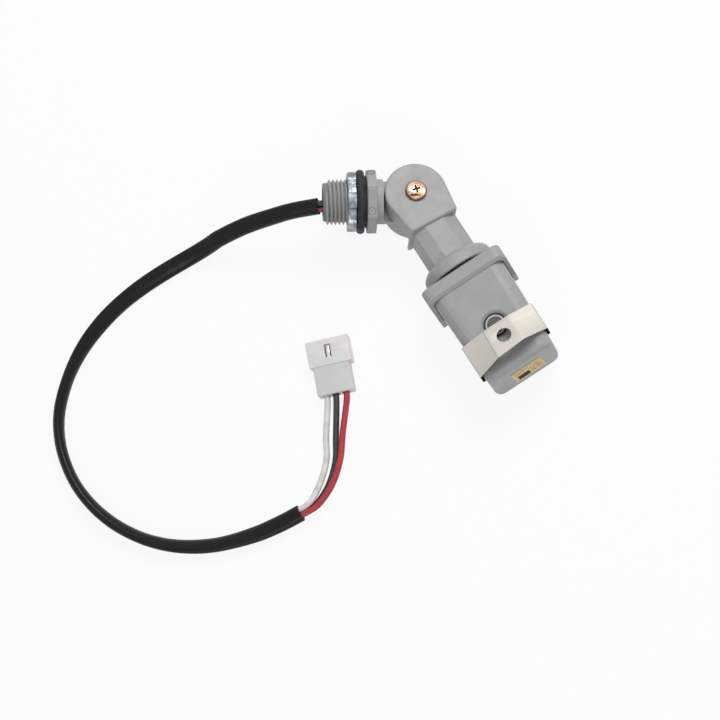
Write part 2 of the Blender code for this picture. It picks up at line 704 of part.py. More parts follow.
def make_swivel_arm():
    """Front half of the knuckle, stem, domed foot and hollow hub, moulded in one."""
    arm = turned("swivel_arm", dome_profile(), ARM_FRAME, GREY_PLASTIC)
    plate = prism("plate_tool", plate_outline(), -OVERLAP, HALF_KNUCKLE, KNUCKLE_ARM_FRAME)
    soften(plate, DISC_ROUNDING)
    block = box(
        "block_tool",
        (-SHOULDER_HALF_WIDTH, -HALF_KNUCKLE, BLOCK_START),
        (SHOULDER_HALF_WIDTH, OVERLAP, SHOULDER_END),
        ARM_FRAME,
    )
    soften(block, 0.5 * MM)
    stem = prism("stem_tool", stem_outline(), SHOULDER_END - OVERLAP, DOME_START + OVERLAP, ARM_FRAME)
    soften(stem, 0.5 * MM, angle=20)
    width = DISC_RADIUS + OVERSHOOT
    rear_space = box(
        "rear_space_tool", (-width, -width, -width), (width, HALF_PARTING, BLOCK_START), ARM_FRAME
    )
    join(arm, stem, plate, block)
    bore = cylinder("stem_bore_tool", STEM_BORE_RADIUS, SHOULDER_END + OVERLAP, DOME_END + OVERLAP, ARM_FRAME)
    hub_bore = cylinder("hub_bore_tool", HUB_BORE_RADIUS, DOME_END, HUB_END + OVERSHOOT, ARM_FRAME)
    wire_hole = cylinder(
        "arm_wire_hole_tool", WIRE_HOLE_RADIUS, CHAMBER_RADIUS - OVERLAP, SHOULDER_END + 2 * OVERLAP,
        ARM_FRAME, matrix=Matrix.Translation((0, WIRE_HOLE_OFFSET, 0)), sides=SMALL_TURN_STEPS
    )
    cut(arm, rear_space, bore, hub_bore, wire_hole, make_chamber("front_chamber_tool", -OVERLAP, CHAMBER_DEPTH))
    cut(arm, make_screw_hole("front_screw_hole_tool"))
    return arm


def make_gasket():
    """A thick rubber washer with a bulging rim and a step towards the flange."""
    inner = THREAD_CREST_RADIUS + SEAT_GAP
    step_end = GASKET_START + GASKET_STEP
    profile = (
        (GASKET_RADIUS - 0.7 * MM, GASKET_END),
        (GASKET_RADIUS, GASKET_END - 0.9 * MM),
        (GASKET_RADIUS, step_end + 0.9 * MM),
        (GASKET_RADIUS - 0.7 * MM, step_end),
        (GASKET_STEP_RADIUS, step_end),
        (GASKET_STEP_RADIUS, GASKET_START),
        (inner, GASKET_START),
        (inner, GASKET_END),
    )
    return turned("gasket", profile, NIPPLE_FRAME, BLACK_RUBBER, closed=True)


def locknut_outline():
    outline = []
    for lug in range(LOCKNUT_LUGS):
        middle = 2 * math.pi * lug / LOCKNUT_LUGS + LOCKNUT_TURN
        half = LOCKNUT_LUG_ANGLE / 2
        following = middle + 2 * math.pi / LOCKNUT_LUGS
        outline += arc((0, 0), LOCKNUT_LUG_RADIUS, middle - half, middle + half, 4)
        low, high = middle + half + LOCKNUT_LUG_SLANT, following - half - LOCKNUT_LUG_SLANT
        outline += arc((0, 0), LOCKNUT_RADIUS, low, high, 4)
    return outline


def make_locknut():
    nut = prism("locknut", locknut_outline(), LOCKNUT_START, LOCKNUT_START + LOCKNUT_THICKNESS, LOCKNUT_FRAME, ZINC_PLATE)
    soften(nut, 0.35 * MM, 1)
    hole = cylinder(
        "locknut_hole_tool", THREAD_CREST_RADIUS + SEAT_GAP, FLANGE_START, NIPPLE_END, LOCKNUT_FRAME
    )
    cut(nut, hole)
    return nut


def make_swivel_seal():
    inner = HUB_RADIUS + SEAT_GAP
    low, high = SEAL_START, SEAL_START + SEAL_THICKNESS
    profile = ((SEAL_RADIUS, high), (SEAL_RADIUS, low), (inner, low), (inner, high))
    return turned("swivel_seal", profile, HEAD_FRAME, BLACK_RUBBER, closed=True)


def make_retaining_ring():
    """An open spring ring in the hub's groove, which keeps the head on the arm."""
    inner = HUB_RADIUS - RING_GROOVE_DEPTH + SEAT_GAP
    low, high = RING_START, RING_START + RING_THICKNESS
    profile = ((RING_OUTER_RADIUS, high), (RING_OUTER_RADIUS, low), (inner, low), (inner, high))
    ring = turned("retaining_ring", profile, ARM_FRAME, ZINC_PLATE, closed=True, steps=36)
    half = RING_MOUTH / 2
    mouth = box("ring_mouth_tool", (-half, 0, low - OVERLAP), (half, HEAD_HALF_DEPTH, high + OVERLAP), ARM_FRAME)
    cut(ring, mouth)
    return ring


def bow(start, middle, end, steps):
    """Points on a curve from start to end, drawn towards the middle point."""
    points = []
    for step in range(steps + 1):
        t = step / steps
        points.append(tuple(a * (1 - t) ** 2 + 2 * b * t * (1 - t) + c * t**2 for a, b, c in zip(start, middle, end)))
    return points


def cap_side_outline():
    """The cap from the side: y runs from back to front, z along the stem."""
    front_low = CAP_START + CAP_FRONT_HEIGHT
    lip_low = front_low + CAP_FRONT_WALL
    skirt_low = CAP_START + CAP_SKIRT_HEIGHT
    back_low = CAP_START + CAP_BACK_HEIGHT
    reach = HEAD_HALF_DEPTH + OVERSHOOT
    front = HEAD_HALF_DEPTH
    inner_front = front - CAP_FRONT_WALL
    sweep = bow((inner_front, lip_low), (CAP_SKIRT_TURN, lip_low), (-CAP_SKIRT_TURN, skirt_low), 6)
    top = CAP_START - OVERSHOOT
    return (
        [(-reach, top), (reach, top), (reach, front_low), (front, front_low)]
        + sweep
        + [(-CAP_SKIRT_BACK, skirt_low), (-CAP_SKIRT_BACK, back_low), (-reach, back_low)]
    )


def cap_ring(inset=0.0):
    return rounded_box_ring(CAP_HALF_WIDTH, -HEAD_HALF_DEPTH, HEAD_HALF_DEPTH, CAP_CORNER, CAP_CORNER, inset)


def make_head_cap():
    """The collar that closes the head: a top plate, walls and two side skirts."""
    end = CAP_START + CAP_SKIRT_HEIGHT + OVERLAP
    sections = [
        (CAP_START, cap_ring(CAP_EDGE)),
        (CAP_START + CAP_EDGE * 0.3, cap_ring(CAP_EDGE * 0.3)),
        (CAP_START + CAP_EDGE, cap_ring()),
        (end, cap_ring()),
    ]
    cap = loft("head_cap", sections, HEAD_FRAME, GREY_PLASTIC)
    reach = CAP_HALF_WIDTH + OVERSHOOT
    side = prism("cap_side_tool", cap_side_outline(), -reach, reach, HEAD_FRAME, matrix=SIDEWAYS)
    boolean(cap, side, "INTERSECT")
    inner = rounded_box_ring(
        CAP_HALF_WIDTH - CAP_SIDE_WALL, -HEAD_HALF_DEPTH + CAP_BACK_WALL, HEAD_HALF_DEPTH - CAP_FRONT_WALL,
        BODY_BACK_CORNER - CAP_BACK_WALL, BODY_FRONT_CORNER - CAP_FRONT_WALL
    )
    cavity = loft("cap_cavity_tool", [(CAP_CAVITY_START, inner), (end + OVERSHOOT, inner)], HEAD_FRAME)
    hub_hole = cylinder("hub_hole_tool", HUB_RADIUS + RUN_GAP, CAP_START - OVERSHOOT, end, HEAD_FRAME)
    cut(cap, cavity, hub_hole)
    return cap


def body_half_width(place_along):
    """The body's half width at a distance from the pivot: it tapers to its end."""
    share = (place_along - BODY_STEP) / (BODY_END - BODY_STEP)
    return BODY_HALF_WIDTH + (BODY_END_HALF_WIDTH - BODY_HALF_WIDTH) * max(share, 0)


def body_ring(place_along, inset=0.0, back=HEAD_HALF_DEPTH):
    return rounded_box_ring(
        body_half_width(place_along), -back, BODY_FRONT, BODY_BACK_CORNER, BODY_FRONT_CORNER, inset
    )


def make_head_body():
    """The tapered cup that holds the circuit, with the window and two slide grooves."""
    neck_back = BODY_NECK_BACK
    neck = BODY_STEP + SEAT_GAP
    start = neck + HEAD_HALF_DEPTH - neck_back
    sections = [
        (BODY_START, body_ring(BODY_START, back=neck_back)),
        (neck, body_ring(neck, back=neck_back)),
        (start, body_ring(start)),
        (BODY_END - BODY_END_ROUNDING, body_ring(BODY_END - BODY_END_ROUNDING)),
    ]
    for step in range(1, 5):
        angle = math.pi / 2 * step / 4
        rise = BODY_END_ROUNDING * math.sin(angle)
        inset = BODY_END_ROUNDING * (1 - math.cos(angle))
        sections.append((BODY_END - BODY_END_ROUNDING + rise, body_ring(BODY_END, inset)))
    body = loft("head_body", sections, HEAD_FRAME, GREY_PLASTIC)
    floor = BODY_END - BODY_WALL
    hollow = [
        (BODY_START - OVERSHOOT, body_ring(BODY_START, BODY_WALL, neck_back)),
        (floor, body_ring(floor, BODY_WALL, neck_back)),
    ]
    cut(body, loft("body_hollow_tool", hollow, HEAD_FRAME))
    join(body, *make_board_ribs())
    cut(body, make_window_tool(), *make_groove_tools())
    return body


def make_board_ribs():
    """Two pairs of ribs that hold the edges of the circuit board."""
    ribs = []
    start, end = BOARD_START - OVERLAP, BODY_END - BODY_WALL + OVERLAP
    for side in (-1, 1):
        for face in (-1, 1):
            near = BOARD_LEVEL + face * (BOARD_THICKNESS / 2 + SEAT_GAP)
            far = near + face * RIB_THICKNESS
            inner = side * (body_half_width(end) - BODY_WALL - RIB_HEIGHT)
            outer = side * (body_half_width(end) - BODY_WALL / 3)
            low = (min(inner, outer), min(near, far), start)
            high = (max(inner, outer), max(near, far), end)
            ribs.append(box("rib_tool_%d_%d" % (side + 1, face + 1), low, high, HEAD_FRAME))
    return ribs


def make_window_tool():
    """The shallow halo, the seat of the lens and the hole behind it."""
    seat = BODY_FRONT - WINDOW_DEPTH
    profile = (
        (0, BODY_FRONT + OVERSHOOT),
        (HALO_RADIUS + OVERSHOOT, BODY_FRONT + OVERSHOOT),
        (HALO_RADIUS, BODY_FRONT),
        (WINDOW_RADIUS, BODY_FRONT - HALO_DEPTH),
        (WINDOW_RADIUS, seat),
        (WINDOW_HOLE_RADIUS, seat),
        (WINDOW_HOLE_RADIUS, BODY_FRONT - BODY_WALL - OVERLAP),
        (0, BODY_FRONT - BODY_WALL - OVERLAP),
    )
    matrix = Matrix.Translation((0, 0, WINDOW_PLACE)) @ FRONT_WINDOW_AXIS
    return turned("window_tool", profile, HEAD_FRAME, matrix=matrix, steps=36)


def make_groove_tools():
    """Grooves for the shield's lips, as long as the shield's travel."""
    floor = SHIELD_INNER_HALF_WIDTH + SHIELD_SHEET - SHIELD_LIP - RUN_GAP
    reach = CAP_HALF_WIDTH + OVERSHOOT
    half = SHIELD_SHEET / 2 + RUN_GAP
    start = SHIELD_START - SHIELD_UP_TRAVEL - RUN_GAP
    end = SHIELD_START + SHIELD_HEIGHT + SHIELD_DOWN_TRAVEL + RUN_GAP
    tools = []
    for side in (-1, 1):
        low = (min(side * floor, side * reach), SHIELD_LIP_LEVEL - half, start)
        high = (max(side * floor, side * reach), SHIELD_LIP_LEVEL + half, end)
        tools.append(box("groove_tool_%d" % (side + 1), low, high, HEAD_FRAME))
    return tools


def make_lens():
    seat = BODY_FRONT - WINDOW_DEPTH + SEAT_GAP
    top = seat + LENS_THICKNESS
    crown = [
        (LENS_RADIUS * math.sin(angle), top + LENS_CROWN * math.cos(angle))
        for angle in [math.pi / 2 * step / 4 for step in range(5)]
    ]
    matrix = Matrix.Translation((0, 0, WINDOW_PLACE)) @ FRONT_WINDOW_AXIS
    profile = crown + [(LENS_RADIUS, seat), (0, seat)]
    return turned("lens", profile, HEAD_FRAME, DARK_LENS, matrix=matrix, steps=32)


def make_lens_seal():
    low = BODY_FRONT - WINDOW_DEPTH + SEAT_GAP
    high = low + LENS_SEAL_THICKNESS
    inner, outer = LENS_RADIUS + SEAT_GAP, WINDOW_RADIUS - SEAT_GAP
    matrix = Matrix.Translation((0, 0, WINDOW_PLACE)) @ FRONT_WINDOW_AXIS
    profile = ((outer, high), (outer, low), (inner, low), (inner, high))
    return turned("lens_seal", profile, HEAD_FRAME, BLACK_RUBBER, matrix=matrix, closed=True, steps=32)


def shield_row(crease, level):
    """The folded sheet's middle line at one height, from lip to lip."""
    side = SHIELD_INNER_HALF_WIDTH + SHIELD_SHEET / 2
    lip = side - SHIELD_LIP + SHIELD_SHEET / 2
    half = [(crease, level), (side, SHIELD_CORNER_LEVEL), (side, SHIELD_LIP_LEVEL), (lip, SHIELD_LIP_LEVEL)]
    return [(-x, y) for x, y in reversed(half)] + half


def make_light_shield():
    """A stainless strip folded over the head, open below like a hood, with a round hole."""
    top = shield_row(SHIELD_TOP_CREASE, SHIELD_TOP_LEVEL)
    low = shield_row(SHIELD_LOW_CREASE, SHIELD_LOW_LEVEL)

    def build(model):
        upper = [model.verts.new((x, y, SHIELD_START)) for x, y in top]
        lower = [model.verts.new((x, y, SHIELD_START + SHIELD_HEIGHT)) for x, y in low]
        for index in range(len(upper) - 1):
            model.faces.new((upper[index], upper[index + 1], lower[index + 1], lower[index]))

    shield = make_piece("light_shield", mesh_from("light_shield", build), HEAD_FRAME, STAINLESS)
    sheet = shield.modifiers.new("sheet", "SOLIDIFY")
    sheet.thickness = SHIELD_SHEET
    sheet.offset = 0
    sheet.use_even_offset = True
    matrix = Matrix.Translation((0, 0, SHIELD_START + SHIELD_HOLE_PLACE)) @ FRONT_WINDOW_AXIS
    hole = cylinder(
        "shield_hole_tool", SHIELD_HOLE_RADIUS, BODY_FRONT, SHIELD_LOW_LEVEL + OVERSHOOT, HEAD_FRAME, matrix=matrix, sides=32
    )
    cut(shield, hole)
    return shield


def make_rating_label():
    half = LABEL_SIDE / 2
    low = BODY_END + LABEL_GAP
    return box(
        "rating_label", (-half, LABEL_LEVEL - half, low), (half, LABEL_LEVEL + half, low + LABEL_THICKNESS),
        HEAD_FRAME, LABEL_FILM
    )


def make_circuit_board():
    half = BOARD_THICKNESS / 2
    return box(
        "circuit_board", (-BOARD_HALF_WIDTH, BOARD_LEVEL - half, BOARD_START),
        (BOARD_HALF_WIDTH, BOARD_LEVEL + half, BOARD_END), HEAD_FRAME, BOARD_GREEN
    )


def add_legs(piece, places, top):
    """Wire legs from the board's face up into a part that stands off it."""
    for index, (x, z) in enumerate(places):
        matrix = Matrix.Translation((x, 0, z)) @ FRONT_WINDOW_AXIS
        leg = cylinder(piece.name + "_leg_tool_%d" % index, LEG_RADIUS, PART_SEAT, top, HEAD_FRAME, matrix=matrix, sides=8)
        join(piece, leg)


def make_photo_sensor():
    """A light-sensitive disc on two long legs, close behind the window."""
    high = BODY_INNER_FRONT - SENSOR_GAP
    low = high - SENSOR_THICKNESS
    matrix = Matrix.Translation((0, 0, WINDOW_PLACE)) @ FRONT_WINDOW_AXIS
    sensor = cylinder("photo_sensor", SENSOR_RADIUS, low, high, HEAD_FRAME, SENSOR_AMBER, matrix=matrix, sides=24)
    half = SENSOR_LEG_PITCH / 2
    add_legs(sensor, [(-half, WINDOW_PLACE), (half, WINDOW_PLACE)], low + OVERLAP)
    return sensor


def make_board_block(name, size, place_x, place_z, material):
    """A box-shaped part whose flat base stands on the board."""
    low = (place_x - size[0] / 2, PART_SEAT, place_z - size[2] / 2)
    high = (place_x + size[0] / 2, PART_SEAT + size[1], place_z + size[2] / 2)
    block = box(name, low, high, HEAD_FRAME, material)
    soften(block, 0.4 * MM, 1)
    return block


def make_relay():
    x = RELAY_SIZE[0] / 2 - PART_LIMIT
    z = BOARD_START + PART_MARGIN + RELAY_SIZE[2] / 2
    return make_board_block("relay", RELAY_SIZE, x, z, RELAY_BLACK)


def make_film_capacitor():
    """It fills the board's far end next to the varistor."""
    width = 2 * (PART_LIMIT - VARISTOR_RADIUS) - FILM_CAPACITOR_GAP
    size = (width, FILM_CAPACITOR_HEIGHT, FILM_CAPACITOR_THICKNESS)
    x = PART_LIMIT - width / 2
    z = BOARD_END - PART_MARGIN - FILM_CAPACITOR_THICKNESS / 2
    return make_board_block("film_capacitor", size, x, z, CAPACITOR_YELLOW)


def make_varistor():
    """A round disc on edge, held on two legs."""
    x = VARISTOR_RADIUS - PART_LIMIT
    z = BOARD_END - PART_MARGIN - FILM_CAPACITOR_THICKNESS / 2
    middle = BOARD_FRONT + VARISTOR_RADIUS + PART_SPACING
    half = VARISTOR_THICKNESS / 2
    matrix = Matrix.Translation((x, middle, z))
    disc = cylinder("varistor", VARISTOR_RADIUS, -half, half, HEAD_FRAME, VARISTOR_BLUE, matrix=matrix, sides=24)
    spread = VARISTOR_RADIUS / 2
    add_legs(disc, [(x - spread, z), (x + spread, z)], middle - VARISTOR_RADIUS / 2)
    return disc


def diode_place(index):
    x = PART_LIMIT - DIODE_RADIUS - index * DIODE_PITCH
    z = BOARD_START + PART_MARGIN + AXIAL_LEG + DIODE_LENGTH / 2
    return x, z


def can_place():
    """It stands next to the diodes, towards the window."""
    x = PART_LIMIT - CAN_RADIUS
    return x, diode_place(0)[1] + DIODE_LENGTH / 2 + AXIAL_LEG + PART_SPACING + CAN_RADIUS


def make_can_capacitor():
    x, z = can_place()
    matrix = Matrix.Translation((x, 0, z)) @ FRONT_WINDOW_AXIS
    can = cylinder(
        "can_capacitor", CAN_RADIUS, PART_SEAT, PART_SEAT + CAN_HEIGHT, HEAD_FRAME, CAN_BLACK, matrix=matrix, sides=24
    )
    soften(can, 0.4 * MM, 1)
    return can


def make_axial_part(name, radius, length, place_x, place_z, material, turn=0):
    """A part that lies on the board, with a wire out of each end."""
    matrix = Matrix.Translation((place_x, PART_SEAT + radius, place_z)) @ Matrix.Rotation(turn, 4, "Y")
    half = length / 2
    part = cylinder(name, radius, -half, half, HEAD_FRAME, material, matrix=matrix, sides=16)
    reach = half + AXIAL_LEG
    wire = cylinder(name + "_wire_tool", LEG_RADIUS, -reach, reach, HEAD_FRAME, matrix=matrix, sides=8)
    join(part, wire)
    return part


def make_dropper_resistor():
    x = PART_LIMIT - AXIAL_LEG - RESISTOR_LENGTH / 2
    z = can_place()[1] + CAN_RADIUS + PART_SPACING + RESISTOR_RADIUS
    turn = math.radians(90)
    return make_axial_part("dropper_resistor", RESISTOR_RADIUS, RESISTOR_LENGTH, x, z, RESISTOR_TAN, turn)


def make_circuit():
    """The board and everything on it."""
    make_circuit_board()
    make_photo_sensor()
    make_relay()
    make_film_capacitor()
    make_can_capacitor()
    make_varistor()
    make_dropper_resistor()
    for index in range(2):
        x, z = diode_place(index)
        make_axial_part("diode_%d" % (index + 1), DIODE_RADIUS, DIODE_LENGTH, x, z, DIODE_BLACK)
    make_board_lead("board_lead_white", -1, WIRE_WHITE)
    make_board_lead("board_lead_black", 0, WIRE_BLACK)
    make_board_lead("board_lead_red", 1, WIRE_RED)


def make_board_lead(name, side, material):
    """A wire from the near end of the board up into the hub."""
    x = side * BOARD_LEAD_PITCH
    level = PART_SEAT + WIRE_RADIUS
    points = [(x, level, BOARD_START + PART_MARGIN / 2), (x, level, HUB_END), (x, level, RING_START)]
    return tube(name, points, WIRE_RADIUS, HEAD_FRAME, material)


def route_points(route):
    return [Vector(point) * MM for point in route]


def sleeve_points():
    lift = Vector((0, 0, HEAD_HALF_DEPTH))
    route = [point + lift for point in route_points(SLEEVE_RISE)] + route_points(SLEEVE_ROUTE)
    return resample(smooth_route(route), SLEEVE_POINT_SPACING)


def make_sleeve():
    return tube("cord_sleeve", sleeve_points(), SLEEVE_RADIUS, TABLE_FRAME, CORD_BLACK, 4)


def triangle_spot(index, angle=math.pi / 2):
    """Where one of three bundled wires lies in their cross-section."""
    turn = angle + index * 2 * math.pi / 3
    return WIRE_SPREAD * math.cos(turn), WIRE_SPREAD * math.sin(turn)


def beside(curve, x, y):
    """A line that keeps one place in the cross-section of a curve."""
    points = []
    for index, point in enumerate(curve):
        heading = (curve[min(index + 1, len(curve) - 1)] - curve[max(index - 1, 0)]).normalized()
        across = (Vector((1, 0, 0)) - heading * heading.x).normalized()
        points.append(point + across * x + heading.cross(across) * y)
    return points


def ease(start, heading, end, arrival, steps=10):
    """Points on a cubic that leaves along one heading and arrives along another."""
    reach = (end - start).length / 3
    first, second = start + heading * reach, end - arrival * reach
    points = []
    for step in range(1, steps + 1):
        t = step / steps
        points.append(start * (1 - t) ** 3 + first * (3 * t * (1 - t) ** 2) + second * (3 * t**2 * (1 - t)) + end * t**3)
    return points


def make_nipple_leads():
    """The wires between the sleeve's near end and the knuckle, inside the nipple."""
    to_nipple = NIPPLE_FRAME.matrix_world.inverted() @ TABLE_FRAME.matrix_world
    sleeve = sleeve_points()
    start = to_nipple @ sleeve[0]
    heading = (to_nipple @ sleeve[1] - start).normalized()
    straight = [Vector((0, WIRE_HOLE_OFFSET, z)) for z in (WIRE_INNER_END, NIPPLE_END - NIPPLE_BORE_DEPTH)]
    end = start - heading * CORD_GAP
    middle = straight + ease(straight[-1], Vector((0, 0, 1)), end, heading)
    leads = (("lead_white", WIRE_WHITE), ("lead_black", WIRE_BLACK), ("lead_red", WIRE_RED))
    for index, (name, material) in enumerate(leads):
        tube(name, beside(middle, *triangle_spot(index, math.pi / 6)), WIRE_RADIUS, NIPPLE_FRAME, material)


def make_far_wires():
    """The three wires from the sleeve's far end into the connector."""
    to_table = TABLE_FRAME.matrix_world.inverted() @ CONNECTOR_FRAME.matrix_world
    sleeve = sleeve_points()
    heading = (sleeve[-1] - sleeve[-2]).normalized()
    across = heading.cross(Vector((0, 0, 1))).normalized()
    up = across.cross(heading)
    wires = (
        ("wire_white", WIRE_WHITE, WHITE_ROUTE, -1, (-1.6 * MM, 0.9 * MM)),
        ("wire_black", WIRE_BLACK, BLACK_ROUTE, 0, (0.0, -1.9 * MM)),
        ("wire_red", WIRE_RED, RED_ROUTE, 1, (1.6 * MM, 0.9 * MM)),
    )
    for name, material, route, circuit, (side, rise) in wires:
        start = sleeve[-1] + across * side + up * rise + heading * CORD_GAP
        x = circuit * CIRCUIT_PITCH
        inside = [to_table @ Vector((x, y, CIRCUIT_LEVEL)) for y in (-3 * MM, 1 * MM, CIRCUIT_WIRE_DEPTH)]
        curve = smooth_route([start, start + heading * 2 * MM] + route_points(route) + inside)
        tube(name, resample(curve, WIRE_POINT_SPACING), WIRE_RADIUS, TABLE_FRAME, material)


def make_connector():
    """A stepped nylon housing with three circuits and a slot over the middle one."""
    base = CONNECTOR_CLEARANCE
    lift = (FRONT_HEIGHT - REAR_HEIGHT) / 2
    housing = box(
        "connector_housing", (-FRONT_WIDTH / 2, REAR_LENGTH, base),
        (FRONT_WIDTH / 2, CONNECTOR_LENGTH, base + FRONT_HEIGHT), CONNECTOR_FRAME, NYLON
    )
    rear = box(
        "connector_rear_tool", (-REAR_WIDTH / 2, 0, base + lift),
        (REAR_WIDTH / 2, REAR_LENGTH + OVERLAP, base + lift + REAR_HEIGHT), CONNECTOR_FRAME
    )
    soften(housing, CONNECTOR_EDGE, 2)
    soften(rear, CONNECTOR_EDGE, 2)
    join(housing, rear)
    half = CIRCUIT_SIDE / 2
    for circuit in (-1, 0, 1):
        x = circuit * CIRCUIT_PITCH
        hole = box(
            "circuit_tool_%d" % (circuit + 1), (x - half, -OVERSHOOT, CIRCUIT_LEVEL - half),
            (x + half, CONNECTOR_LENGTH + OVERSHOOT, CIRCUIT_LEVEL + half), CONNECTOR_FRAME
        )
        cut(housing, hole)
    slot_start = CONNECTOR_LENGTH - SLOT_PLACE - SLOT_LENGTH
    slot = box(
        "slot_tool", (-SLOT_WIDTH / 2, slot_start, CIRCUIT_LEVEL),
        (SLOT_WIDTH / 2, slot_start + SLOT_LENGTH, base + FRONT_HEIGHT + OVERSHOOT), CONNECTOR_FRAME
    )
    cut(housing, slot)
    return housing


def make_terminals():
    start = CIRCUIT_WIRE_DEPTH + CORD_GAP
    for circuit, name in ((-1, "terminal_white"), (0, "terminal_black"), (1, "terminal_red")):
        profile = (
            (0, TERMINAL_LENGTH),
            (TERMINAL_PIN_RADIUS * 0.6, TERMINAL_LENGTH),
            (TERMINAL_PIN_RADIUS, TERMINAL_LENGTH - 0.8 * MM),
            (TERMINAL_PIN_RADIUS, TERMINAL_BARREL + 0.6 * MM),
            (TERMINAL_RADIUS, TERMINAL_BARREL),
            (TERMINAL_RADIUS, 0),
            (0, 0),
        )
        matrix = Matrix.Translation((circuit * CIRCUIT_PITCH, start, CIRCUIT_LEVEL)) @ FRONT_WINDOW_AXIS
        turned(name, profile, CONNECTOR_FRAME, BRASS, matrix=matrix, steps=20)


clear_scene()
PARTS = make_collection("photocell_switch")
TOOLS = make_collection("tools")

GREY_PLASTIC = make_material("moulded_grey", (0.42, 0.43, 0.44), 0.45)
BLACK_RUBBER = make_material("black_rubber", (0.02, 0.02, 0.022), 0.75)
ZINC_PLATE = make_material("zinc_plate", (0.78, 0.79, 0.80), 0.3, 1.0)
COPPER_PLATE = make_material("copper_plate", (0.72, 0.42, 0.26), 0.28, 1.0)
STAINLESS = make_material("stainless", (0.74, 0.72, 0.69), 0.35, 1.0)
DARK_LENS = make_material("dark_lens", (0.05, 0.05, 0.06), 0.1)
LABEL_FILM = make_material("label_film", (0.72, 0.55, 0.30), 0.5)
BOARD_GREEN = make_material("board_green", (0.05, 0.22, 0.10), 0.5)
SENSOR_AMBER = make_material("sensor_amber", (0.65, 0.36, 0.12), 0.4)
RELAY_BLACK = make_material("relay_black", (0.03, 0.03, 0.035), 0.5)
CAPACITOR_YELLOW = make_material("capacitor_yellow", (0.75, 0.60, 0.12), 0.5)
CAN_BLACK = make_material("can_black", (0.04, 0.04, 0.05), 0.4)
VARISTOR_BLUE = make_material("varistor_blue", (0.06, 0.16, 0.45), 0.5)
RESISTOR_TAN = make_material("resistor_tan", (0.62, 0.52, 0.38), 0.6)
DIODE_BLACK = make_material("diode_black", (0.03, 0.03, 0.03), 0.5)
CORD_BLACK = make_material("cord_black", (0.02, 0.02, 0.024), 0.45)
WIRE_WHITE = make_material("wire_white", (0.82, 0.82, 0.79), 0.45)
WIRE_BLACK = make_material("wire_black", (0.03, 0.03, 0.035), 0.45)
WIRE_RED = make_material("wire_red", (0.62, 0.05, 0.08), 0.4)
NYLON = make_material("nylon", (0.80, 0.80, 0.77), 0.45)
BRASS = make_material("brass", (0.75, 0.62, 0.38), 0.3, 1.0)

PIVOT_FRAME = make_frame("pivot", None, Matrix.Translation((PIVOT_X, PIVOT_Y, HEAD_HALF_DEPTH)))
TABLE_FRAME = make_frame("table", None, Matrix.Translation((PIVOT_X, PIVOT_Y, 0)))
HEAD_FRAME = make_frame("head_turn_axis", PIVOT_FRAME, Matrix.Rotation(math.radians(90), 4, "X"))
KNUCKLE_FRAME = make_frame("knuckle_axis", PIVOT_FRAME, Matrix.Rotation(HEAD_TURN, 4, "Y"))
KNUCKLE_ARM_FRAME = make_frame("knuckle_plate", KNUCKLE_FRAME, Matrix.Identity(4))
ARM_FRAME = make_frame("stem_axis", KNUCKLE_FRAME, Matrix.Rotation(math.radians(90), 4, "X"))
NIPPLE_SIDE_FRAME = make_frame("nipple_side", KNUCKLE_FRAME, Matrix.Rotation(ARM_BEND, 4, "Z"))
NIPPLE_FRAME = make_frame("nipple_axis", NIPPLE_SIDE_FRAME, Matrix.Rotation(math.radians(-90), 4, "X"))
LOCKNUT_FRAME = make_frame("locknut_axis", NIPPLE_FRAME, Matrix.Identity(4))
CONNECTOR_FRAME = make_frame(
    "connector", TABLE_FRAME, Matrix.Translation((CONNECTOR_X, CONNECTOR_Y, 0)) @ Matrix.Rotation(CONNECTOR_TURN, 4, "Z")
)
bpy.context.view_layer.update()

make_nipple_body()
make_gasket()
make_locknut()
make_pivot_nut()
make_lock_washer()
make_pivot_screw()
make_swivel_arm()
make_retaining_ring()
make_swivel_seal()
make_head_cap()
make_head_body()
make_lens()
make_lens_seal()
make_light_shield()
make_rating_label()
make_circuit()
make_sleeve()
make_nipple_leads()
make_far_wires()
make_connector()
make_terminals()
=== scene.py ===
"""Looks for the photocell switch: camera, cord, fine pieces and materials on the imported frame.

Everything is in metres in the row frame: the head lies on its back with its front to +Z,
and -Y runs from the swivel to the lens end.
"""

import math

import bmesh
import bpy
from mathutils import Matrix, Vector


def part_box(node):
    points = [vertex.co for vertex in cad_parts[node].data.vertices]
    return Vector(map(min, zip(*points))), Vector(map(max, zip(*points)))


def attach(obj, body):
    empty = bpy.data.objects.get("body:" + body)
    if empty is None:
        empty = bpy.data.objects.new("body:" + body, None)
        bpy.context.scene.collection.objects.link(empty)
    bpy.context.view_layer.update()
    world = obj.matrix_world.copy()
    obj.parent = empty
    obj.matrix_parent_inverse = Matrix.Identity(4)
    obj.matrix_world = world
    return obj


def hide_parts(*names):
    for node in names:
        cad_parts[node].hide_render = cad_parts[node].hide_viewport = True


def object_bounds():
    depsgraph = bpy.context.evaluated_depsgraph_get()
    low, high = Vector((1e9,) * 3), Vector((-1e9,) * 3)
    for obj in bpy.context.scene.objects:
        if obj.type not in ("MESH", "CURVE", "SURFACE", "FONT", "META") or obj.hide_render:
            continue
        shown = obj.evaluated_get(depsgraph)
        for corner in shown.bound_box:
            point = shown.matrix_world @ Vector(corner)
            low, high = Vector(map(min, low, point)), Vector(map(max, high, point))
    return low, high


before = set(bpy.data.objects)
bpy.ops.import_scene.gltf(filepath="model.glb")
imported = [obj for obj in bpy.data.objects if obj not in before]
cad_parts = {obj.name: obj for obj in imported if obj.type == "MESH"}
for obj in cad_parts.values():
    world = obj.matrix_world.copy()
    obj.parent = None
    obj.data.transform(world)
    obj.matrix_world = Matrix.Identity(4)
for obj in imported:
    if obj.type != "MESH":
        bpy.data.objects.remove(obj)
CAD_LOW, CAD_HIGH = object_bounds()
SCENE = bpy.context.scene
MM = 0.001

